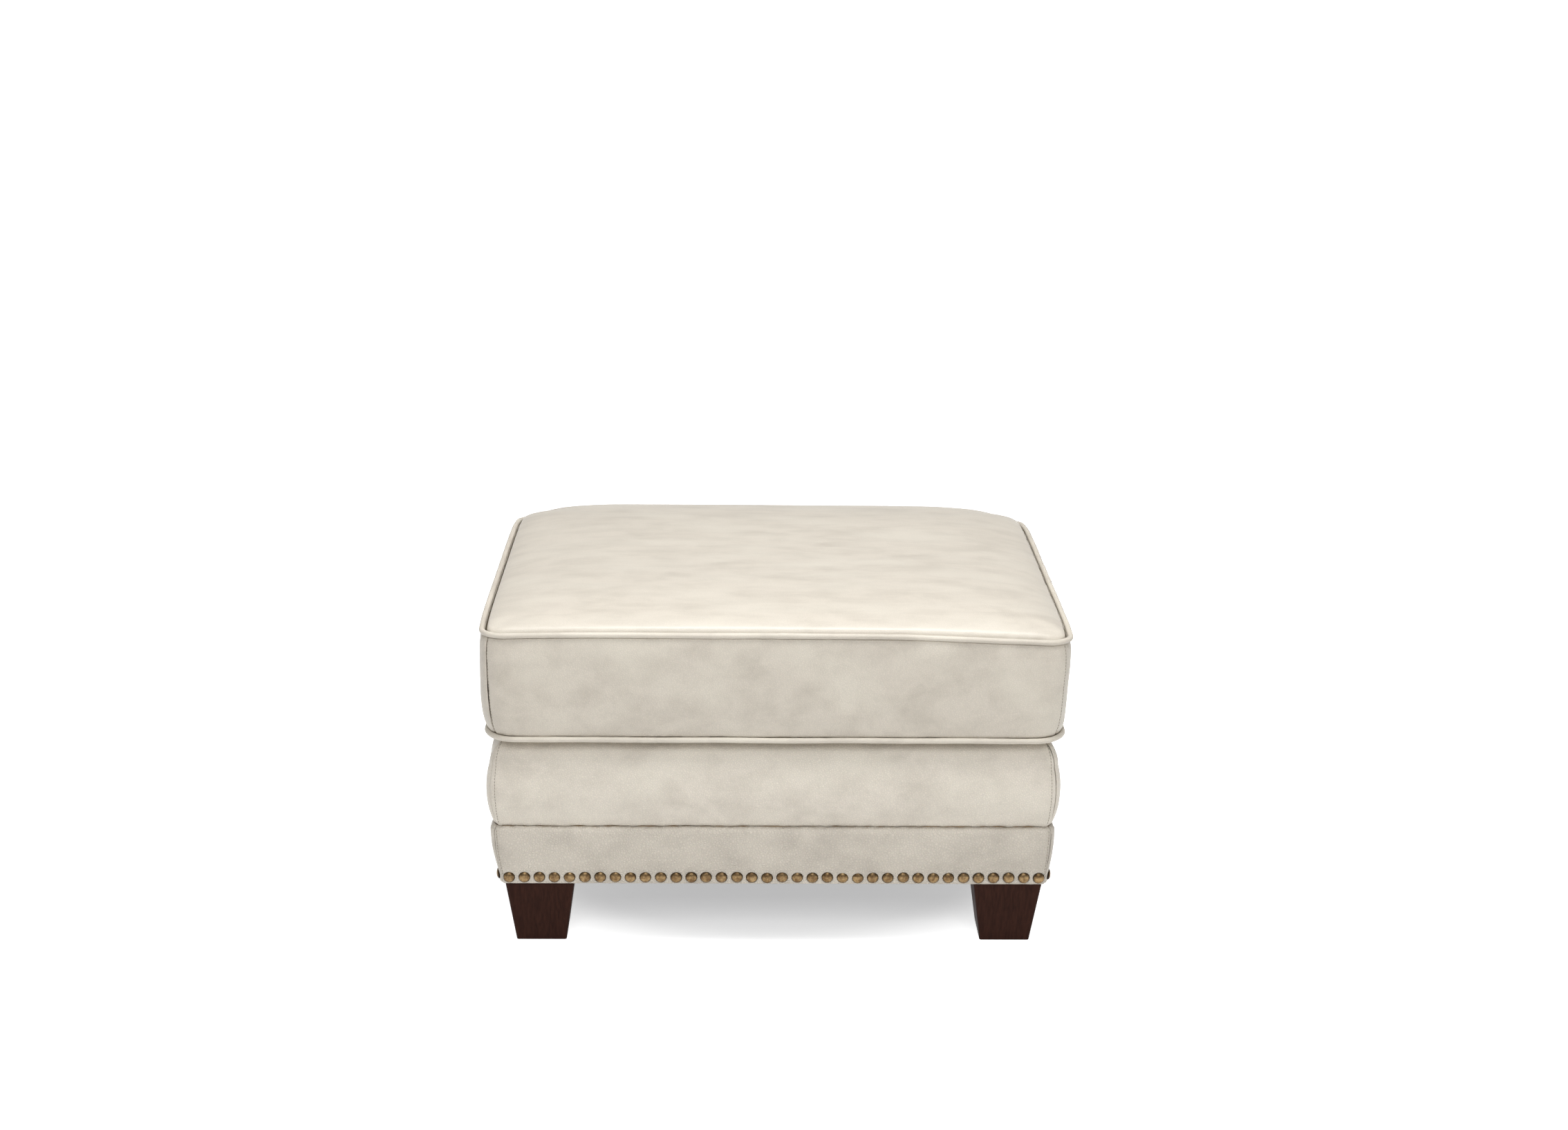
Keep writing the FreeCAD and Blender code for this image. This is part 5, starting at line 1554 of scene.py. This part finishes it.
    def boxing(self, side: Side, low: Rows, high: Rows, rows: int) -> tuple[np.ndarray, np.ndarray]:
        """One boxing wall between two levels, which may vary along it.

        The wall swells as (1 - |2 w - 1|^n)^0.5, w its share of the height from seam to seam and n 3
        below the middle and 6 above it, where the wall stands straighter. Its upper edge droops with
        the seam, but on the back wall the zip's opening stays level.

        Args:
            side: Which side.
            low: The lower level at each column, or one number.
            high: The upper level, likewise.
            rows: Rows from low to high, closer at both ends.

        Returns:
            (rows, columns, 3) places, and the share of the height at each.
        """
        strip = self.wall_strip(side)
        bottom, top = self.wall_ends
        even = np.linspace(0, 1, rows)
        share = even - 0.08 * np.sin(2 * np.pi * even)
        low, high = np.broadcast_to(low, strip.place.shape), np.broadcast_to(high, strip.place.shape)
        z = low + (high - low) * share[:, None]
        w = np.clip((z - bottom) / (top - bottom), 0, 1)
        bulging = np.sqrt(1 - np.abs(2 * w - 1) ** np.where(w < 0.5, 3, 6))
        swell = -self.wall_in + self.wall_swell[side.value] * bulging
        radius = self.low_corner + (self.corner_along(strip) - self.low_corner) * w
        points = strip.points(self.seam_x + swell, self.seam_y + swell, radius, z)
        sink = w
        if side is Side.BACK:
            over_zip = smooth((self.zip_level_half - np.abs(points[..., 0])) / (20 * MM))
            above = np.clip((w - self.zip_level_top) / (1 - self.zip_level_top), 0, 1)
            sink = w + (above - w) * over_zip
        points[..., 2] += self.sag(points[..., 0], points[..., 1]) * sink
        return self.bowed(points, w), w

    def boxing_relief(self, points: np.ndarray, w: np.ndarray, seed: int) -> np.ndarray:
        """Soft waves over a wall, gathers along its seams and a crease at each mitre.

        Args:
            points: The wall's grid.
            w: Its share of the height at each point.
            seed: The first of the four patterns that it uses.

        Returns:
            The relief in metres.
        """
        from_seam = np.minimum(w, 1 - w) * (self.top_seam - self.low_seam)
        away = from_mitres(points)
        relief = 0.8 * MM * waves(points, length_mm=160, seed=seed)
        relief += 0.3 * MM * waves(points, length_mm=60, seed=seed + 1)
        relief *= smooth(from_seam / (20 * MM))
        relief += 0.3 * MM * gathers(points, from_seam, length_mm=15, fade_mm=9, seed=seed + 2)
        relief += 0.35 * MM * gathers(points, away, length_mm=13, fade_mm=7, seed=seed + 3)
        return relief + ridge(away, height_mm=-1.0, width_mm=1.2)

    def build_boxing(self, stitching: Stitching) -> None:
        """The front, left and right walls.

        Args:
            stitching: Takes the seams' stitches.
        """
        patterns_each = 5
        for side in (Side.FRONT, Side.RIGHT, Side.LEFT):
            points, w = self.boxing(side, *self.wall_ends, rows=46)
            seed = Seed.BOXING + patterns_each * side.value
            points = raised(points, self.boxing_relief(points, w, seed))
            if side is Side.FRONT:
                stitching.sew("cushion", points, 2.6 * MM, slice(2, -2))
            piece = grid_piece(f"boxing_leather_{side.word}", points, CUSHION_LEATHER, thickness=self.leather)
            dress(piece, "cushion", [f"boxing_{side.word}"])

    def build_back(self, stitching: Stitching) -> None:
        """The two back strips, folded back along the zip's opening.

        Args:
            stitching: Takes the stitches along the zip.
        """
        low, high = self.wall_ends
        middle = (self.low_seam + self.top_seam) / 2
        across = -self.wall_strip(Side.BACK).place * (self.seam_x - self.low_corner)
        end = np.where(across < 0, self.zip_half_left, self.zip_half_right)
        opened = smooth((end - np.abs(across)) / (4 * MM))
        gap = self.zip_closed + (self.zip_opening - self.zip_closed) * opened
        upper_fold, lower_fold = middle + gap, middle - gap
        between_corners = slice(24, -24)
        for name, bottom, top, fold, row in (
            ("upper", upper_fold, high, upper_fold, 2), ("lower", low, lower_fold, lower_fold, -3),
        ):
            points, w = self.boxing(Side.BACK, bottom, top, rows=26)
            from_fold = np.abs(points[..., 2] - fold)
            relief = self.boxing_relief(points, w, Seed.BACK_STRIPS)
            relief += ridge(from_fold, height_mm=0.35, width_mm=2.4, at_mm=2.4)
            relief += ridge(from_fold, height_mm=-0.9, width_mm=0.9)
            points = raised(points, relief)
            piece = grid_piece(f"boxing_leather_back_{name}", points, CUSHION_LEATHER, thickness=self.leather)
            dress(piece, "cushion", [f"boxing_back_{name}"])
            stitching.add("cushion", points[row, between_corners], normals(points)[row, between_corners])

    def build_bottom(self) -> None:
        """The bottom panel, which lies on the deck and curls up a little at its seam."""
        half_x, half_y = self.seam_x - self.wall_in, self.seam_y - self.wall_in
        corner = self.low_corner - self.wall_in
        u, v = graded_square(half_x, half_y, 3 * MM, 9 * MM)
        x, y = square_to_round(u, v, half_x, half_y, corner, corner)
        points = np.stack([x, y, np.full_like(x, self.bottom + 0.35 * MM)], axis=-1)
        near = np.minimum(half_x * (1 - np.abs(u)), half_y * (1 - np.abs(v)))
        soft = 0.2 * MM * waves(points, length_mm=70, seed=Seed.BOTTOM) * smooth(near / (20 * MM))
        points[..., 2] += 2.2 * MM * np.exp(-near / (3 * MM)) + soft
        piece = grid_piece("bottom_leather", points[:, ::-1], CUSHION_LEATHER, thickness=self.leather)
        dress(piece, "cushion", ["bottom_panel"])

    def loop(self, seam: Seam) -> np.ndarray:
        """Draw the middle line of a piping, from the front's left mitre round.

        The top one sags and bows with the top panel's seam.

        Args:
            seam: Which piping.

        Returns:
            (n, 3) places.
        """
        upper = seam is Seam.TOP
        level = self.top_seam if upper else self.low_seam
        sides = []
        for side in Side:
            straight = 2 * (side.pick(self.seam_x, self.seam_y) - self.low_corner)
            strip = Strip.plan(side, straight, bends=14, fine=3 * MM, coarse=4 * MM)
            corner = self.corner_along(strip) if upper else np.full(len(strip.place), self.low_corner)
            sides.append(strip.points([self.seam_x], [self.seam_y], corner[None], [level])[0, :-1])
        line = np.concatenate(sides)
        if upper:
            line[:, 2] += self.sag(line[:, 0], line[:, 1])
            line = self.bowed(line)
        line[:, 2] += 0.35 * MM * waves(line, length_mm=120, seed=Seed.PIPING_LINE)
        return line

    def build_piping(self, seam: Seam) -> None:
        """A line of piping: a tube whose leather laps over itself at the joints, round a cord.

        The radius steps up at a lap and eases back over its run; the step leans across the tube.

        Args:
            seam: Which piping.
        """
        line = self.loop(seam)
        ahead = np.roll(line, -1, axis=0) - np.roll(line, 1, axis=0)
        outward = np.cross(ahead, UP)
        outward /= np.linalg.norm(outward, axis=1, keepdims=True)
        turn = np.linspace(-math.pi, math.pi, 18, endpoint=False)[:, None]
        steps = np.linalg.norm(np.roll(line, -1, axis=0) - line, axis=1)
        run = np.concatenate([[0], np.cumsum(steps)[:-1]])
        uneven = self.welt + 0.1 * MM * waves(line, length_mm=30, seed=Seed.PIPING_SKIN)
        radius = np.tile(uneven, (len(turn), 1))
        lean, step_run = 3 * MM, 1.2 * MM
        for x, y in self.top_laps if seam is Seam.TOP else self.bottom_laps:
            joint = run[int(np.argmin(np.hypot(line[:, 0] - x, line[:, 1] - y)))]
            past = run - joint - lean * np.sin(turn)
            radius = radius + self.lap_rise * smooth(past / step_run) * (1 - smooth(past / self.lap_run))
        section = np.cos(turn)[..., None] * outward + np.sin(turn)[..., None] * UP
        points = line + radius[..., None] * section
        name = seam.value
        piece = grid_piece(f"{name}_piping", points, PIPING_LEATHER, ring_rows=True, ring_columns=True)
        dress(piece, "cushion", [f"{name}_welt"])
        core = line[::3] + self.cord * section[::2, ::3]
        piece = grid_piece(f"{name}_piping_cord", core, CORD, ring_rows=True, ring_columns=True)
        dress(piece, "cushion", ["welt_cords"])

    def build_tapes(self) -> None:
        """The zip's two woven tapes, which run on behind the back strips."""
        low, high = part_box("zip_tapes")
        middle = (low.z + high.z) / 2
        x = np.linspace(low.x - self.tape_extra, high.x, 160)
        for sign, word in ((1, "upper"), (-1, "lower")):
            z = middle + sign * np.linspace(1.2 * MM, high.z - middle, 5)
            grid = np.stack(np.broadcast_arrays(-x[None], high.y, np.sort(z)[:, None]), axis=-1)
            grid[..., 1] += 0.1 * MM * waves(grid, length_mm=40, seed=Seed.ZIP_TAPE)
            piece = grid_piece(f"zip_tape_{word}", grid, ZIP_TAPE, thickness=self.tape)
            dress(piece, "cushion", ["zip_tapes"])

    def build_teeth(self) -> None:
        """Two rows of moulded teeth that mesh in turn, from the end stop to the slider."""
        low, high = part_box("zip_teeth")
        tape_low, tape_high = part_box("zip_tapes")
        slider_low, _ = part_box("zip_slider")
        middle = (tape_low.z + tape_high.z) / 2
        half = (high.y - low.y) / 2
        places = np.arange(low.x + self.tooth_pitch, slider_low.x + 2 * MM, self.tooth_pitch / 2)
        count = len(places)
        upward = np.where(np.arange(count) % 2 == 0, 1.0, -1.0)
        depth = np.full(count, (low.y + high.y) / 2)
        centres = np.stack([places, depth, middle + 0.5 * MM * upward], axis=1)
        along = np.tile([1.0, 0.0, 0.0], (count, 1))
        outward = np.stack([np.zeros(count), np.zeros(count), upward], axis=1)
        corner = np.array([[-1, -1], [1, -1], [1, 1], [-1, 1]])
        form = np.concatenate([
            np.column_stack([corner[:, 0] * wide * MM, corner[:, 1] * deep * half, np.full(4, z * MM)])
            for z, wide, deep in self.tooth
        ])
        faces = [grid_faces(4, 4, ring_columns=True), np.array([[3, 2, 1, 0]]), np.array([[12, 13, 14, 15]])]
        piece = set_of_forms("zip_teeth_rows", form, faces, centres, along, outward, ZIP_PLASTIC)
        dress(piece, "cushion", ["zip_teeth"])


# The deck, the underside and the hidden frame


@dataclass
class DeckAndUnderside:
    """The cloth over the deck inside the leather rim, and the cloth under the frame."""

    deck_thickness: float = 0.8 * MM
    deck_ripple: float = 0.25 * MM
    dust_thickness: float = 0.5 * MM
    dust_hang: float = 3 * MM
    dust_ripple: float = 0.8 * MM

    def build_deck(self) -> None:
        """The deck cloth: stretched, with faint ripples."""
        low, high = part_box("deck_cloth")
        x, y = np.meshgrid(np.linspace(low.x, high.x, 90), np.linspace(low.y, high.y, 66))
        points = np.stack([x, y, np.full_like(x, high.z)], axis=-1)
        points[..., 2] += self.deck_ripple * waves(points, length_mm=90, seed=Seed.DECK_CLOTH)
        piece = grid_piece("deck_cloth_sheet", points, DECK_CLOTH, thickness=self.deck_thickness)
        dress(piece, "base", ["deck_cloth"])

    def build_dust_cloth(self) -> None:
        """The dust cloth: it hangs by (1 - x^2)^2 (1 - y^2)^2 between its stapled edges at 1 and -1."""
        low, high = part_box("dust_cover")
        x, y = np.meshgrid(np.linspace(low.x, high.x, 90), np.linspace(low.y, high.y, 70))
        hang = (1 - (x / high.x) ** 2) ** 2 * (1 - (y / high.y) ** 2) ** 2
        points = np.stack([x, y, low.z - self.dust_hang * hang], axis=-1)
        points[..., 2] += self.dust_ripple * waves(points, length_mm=80, seed=Seed.DUST_CLOTH) * hang
        piece = grid_piece("dust_cloth_sheet", points[:, ::-1], SPUN_CLOTH, thickness=self.dust_thickness)
        dress(piece, "base", ["dust_cover"])


@dataclass(frozen=True)
class FrameFinishes:
    """Finishes of the frame's nodes whose own shape is shown, by how their names start.

    The first start that fits counts.
    """

    starts: tuple[tuple[str, Finish], ...] = (
        ("foot_bolts", ZINC), ("foot_", ESPRESSO), ("front_board", SAWN), ("back_board", SAWN),
        ("left_board", SAWN_SIDE), ("right_board", SAWN_SIDE), ("centre_brace", SAWN_SIDE),
        ("corner_block_", SAWN), ("dowels", BEECH_DOWEL), ("tee_nuts", ZINC), ("block_screws", ZINC),
        ("clip_nails", ZINC), ("staples", ZINC), ("spring_clips", ZINC), ("spring_cover", HESSIAN),
        ("spring_", OILED_WIRE), ("tie_wires", OILED_WIRE), ("edge_roll", FOAM), ("deck_foam", FOAM),
        ("zip_slider", ZIP_BRASS), ("pull_tab", ZIP_BRASS),
    )

    def build(self) -> None:
        """Give every node its finish."""
        for name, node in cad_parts.items():
            finish = next((finish for start, finish in self.starts if name.startswith(start)), None)
            if finish is None:
                continue
            node.data.materials.clear()
            node.data.materials.append(finish.material())
            LOG.info("%s is %s", name, finish.name)


# The studio


@dataclass
class Studio:
    """A white floor, soft lamps and the camera of the photograph.

    The camera's focal length is in the photograph's own pixels, of which it is 2268 wide.
    """

    focal_px: float = 3254.5
    width_px: float = 2268
    sensor_mm: float = 36
    pitch: float = math.radians(17.279)
    yaw: float = math.radians(-1.358)
    roll: float = math.radians(0.705)
    place: tuple[float, float, float] = (-0.05717, -3.01871, 1.38456)
    floor_half: float = 60.0
    # The glow's least share next to the stool, and the oval over which it rises to full: a painted shadow.
    shade: float = 0.46
    painted_shadow_half_x: float = 0.5
    painted_shadow_half_y: float = 0.38
    painted_shadow_start: float = 0.6
    painted_shadow_end: float = 0.98
    sky: float = 0.34
    def build_camera(self) -> None:
        """Set the camera from its place, pitch, yaw and roll."""
        back = Vector((
            math.sin(self.yaw) * math.cos(self.pitch), -math.cos(self.yaw) * math.cos(self.pitch),
            math.sin(self.pitch),
        ))
        level = Vector((math.cos(self.yaw), math.sin(self.yaw), 0))
        rise = level.cross(-back)
        right = math.cos(self.roll) * level + math.sin(self.roll) * rise
        up = -math.sin(self.roll) * level + math.cos(self.roll) * rise
        lens = bpy.data.cameras.new("photo_camera")
        lens.sensor_width = self.sensor_mm
        lens.lens = self.focal_px / self.width_px * self.sensor_mm
        camera = bpy.data.objects.new("photo_camera", lens)
        bpy.context.scene.collection.objects.link(camera)
        axes = Matrix((right, up, back)).transposed().to_4x4()
        camera.matrix_world = Matrix.Translation(self.place) @ axes
        bpy.context.scene.camera = camera

    def build_floor(self) -> None:
        """A white floor that shows the stool's shadow, cast by the lamps and painted as well.

        Seen directly or in reflections it glows, least in an oval round the stool, where the lower glow is a
        painted shadow, so that it goes over into white.
        """
        half = self.floor_half
        corners = [(-half, -half, 0), (half, -half, 0), (half, half, 0), (-half, half, 0)]
        material = bpy.data.materials.new("white_floor_with_painted_shadow")
        material.use_nodes = True
        tree = material.node_tree
        tree.nodes.clear()
        paper = add_node(tree, "ShaderNodeBsdfDiffuse", {"Color": linear("E6E6E6")})
        rays = add_node(tree, "ShaderNodeLightPath").outputs
        seen = rays["Is Camera Ray"]
        for ray in ("Is Glossy Ray", "Is Transmission Ray"):
            seen = add_node(tree, "ShaderNodeMath", {0: seen, 1: rays[ray]}, operation="MAXIMUM").outputs[0]
        where = add_node(tree, "ShaderNodeTexCoord").outputs["Object"]
        flat = add_node(tree, "ShaderNodeMapping", {
            "Vector": where, "Scale": (1 / self.painted_shadow_half_x, 1 / self.painted_shadow_half_y, 0),
        }).outputs[0]
        away = add_node(tree, "ShaderNodeVectorMath", {0: flat}, operation="LENGTH").outputs["Value"]
        # Less glow in an oval round the stool paints a soft shadow there.
        glow_with_painted_shadow = add_node(tree, "ShaderNodeMapRange", {
            "Value": away, "From Min": self.painted_shadow_start, "From Max": self.painted_shadow_end, "To Min": self.shade,
        }, interpolation_type="SMOOTHSTEP").outputs[0]
        glow_with_painted_shadow = add_node(tree, "ShaderNodeMath", {0: seen, 1: glow_with_painted_shadow}, operation="MULTIPLY").outputs[0]
        lift = add_node(tree, "ShaderNodeEmission", {"Color": (1, 1, 1, 1), "Strength": glow_with_painted_shadow})
        both = add_node(tree, "ShaderNodeAddShader", {0: paper.outputs[0], 1: lift.outputs[0]})
        add_node(tree, "ShaderNodeOutputMaterial", {"Surface": both.outputs[0]})
        mesh = bpy.data.meshes.new("floor")
        mesh.from_pydata(corners, [], [(0, 1, 2, 3)])
        mesh.materials.append(material)
        floor = bpy.data.objects.new("floor", mesh)
        bpy.context.scene.collection.objects.link(floor)

    def build_lamps(self) -> None:
        """A large soft lamp overhead, one in front, a weak one at each side and a pale sky."""
        world = bpy.data.worlds.new("studio")
        bpy.context.scene.world = world
        world.use_nodes = True
        tree = world.node_tree
        tree.nodes.clear()
        rays = add_node(tree, "ShaderNodeLightPath").outputs
        strength = add_node(tree, "ShaderNodeMapRange", {
            "Value": rays["Is Camera Ray"], "To Min": self.sky,
        }).outputs[0]
        sky = add_node(tree, "ShaderNodeBackground", {"Color": (1, 1, 1, 1), "Strength": strength})
        add_node(tree, "ShaderNodeOutputWorld", {"Surface": sky.outputs[0]})
        for name, size, watts, place, aim in (
            ("top_softbox", (1.3, 1.2), 55, (0.12, -0.5, 2.8), (0, 0, 0.3)),
            ("front_softbox", (2.2, 1.4), 51, (0.1, -3.1, 2.6), (0, 0, 0.25)),
            ("left_card", (1.4, 1.4), 5, (-2.8, -0.8, 1.2), (0, 0, 0.25)),
            ("right_card", (1.4, 1.4), 4, (2.8, -0.8, 1.2), (0, 0, 0.25)),
        ):
            lamp = bpy.data.lights.new(name, "AREA")
            lamp.shape = "RECTANGLE"
            lamp.size, lamp.size_y = size
            lamp.energy = watts
            holder = bpy.data.objects.new(name, lamp)
            bpy.context.scene.collection.objects.link(holder)
            holder.location = place
            holder.rotation_mode = "QUATERNION"
            holder.rotation_quaternion = (Vector(aim) - Vector(place)).to_track_quat("-Z", "Y")

    def build(self) -> None:
        """Set up the whole studio."""
        self.build_camera()
        self.build_floor()
        self.build_lamps()
        bpy.context.scene.view_settings.view_transform = "Standard"


def main() -> None:
    """Dress the frame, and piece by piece."""
    logging.basicConfig(level=logging.INFO, format="%(name)s: %(message)s")
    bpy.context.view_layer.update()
    Studio().build()
    stitching = Stitching()
    base = CoveredBase.from_frame()
    nail_low, nail_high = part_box("cover_nails")
    nails = NailRow(base.band_x, base.band_y, (nail_low.z + nail_high.z) / 2)
    for side in Side:
        base.build_border(side, stitching)
        base.build_band(side, stitching, nails.side_places(side))
    base.build_padding()
    nails.build()
    cushion = LooseCushion.from_frame()
    cushion.build_top()
    cushion.build_boxing(stitching)
    cushion.build_back(stitching)
    cushion.build_bottom()
    cushion.build_filling()
    for seam in Seam:
        cushion.build_piping(seam)
    cushion.build_tapes()
    cushion.build_teeth()
    deck = DeckAndUnderside()
    deck.build_deck()
    deck.build_dust_cloth()
    stitching.build()
    FrameFinishes().build()


if __name__ == "__main__":
    main()
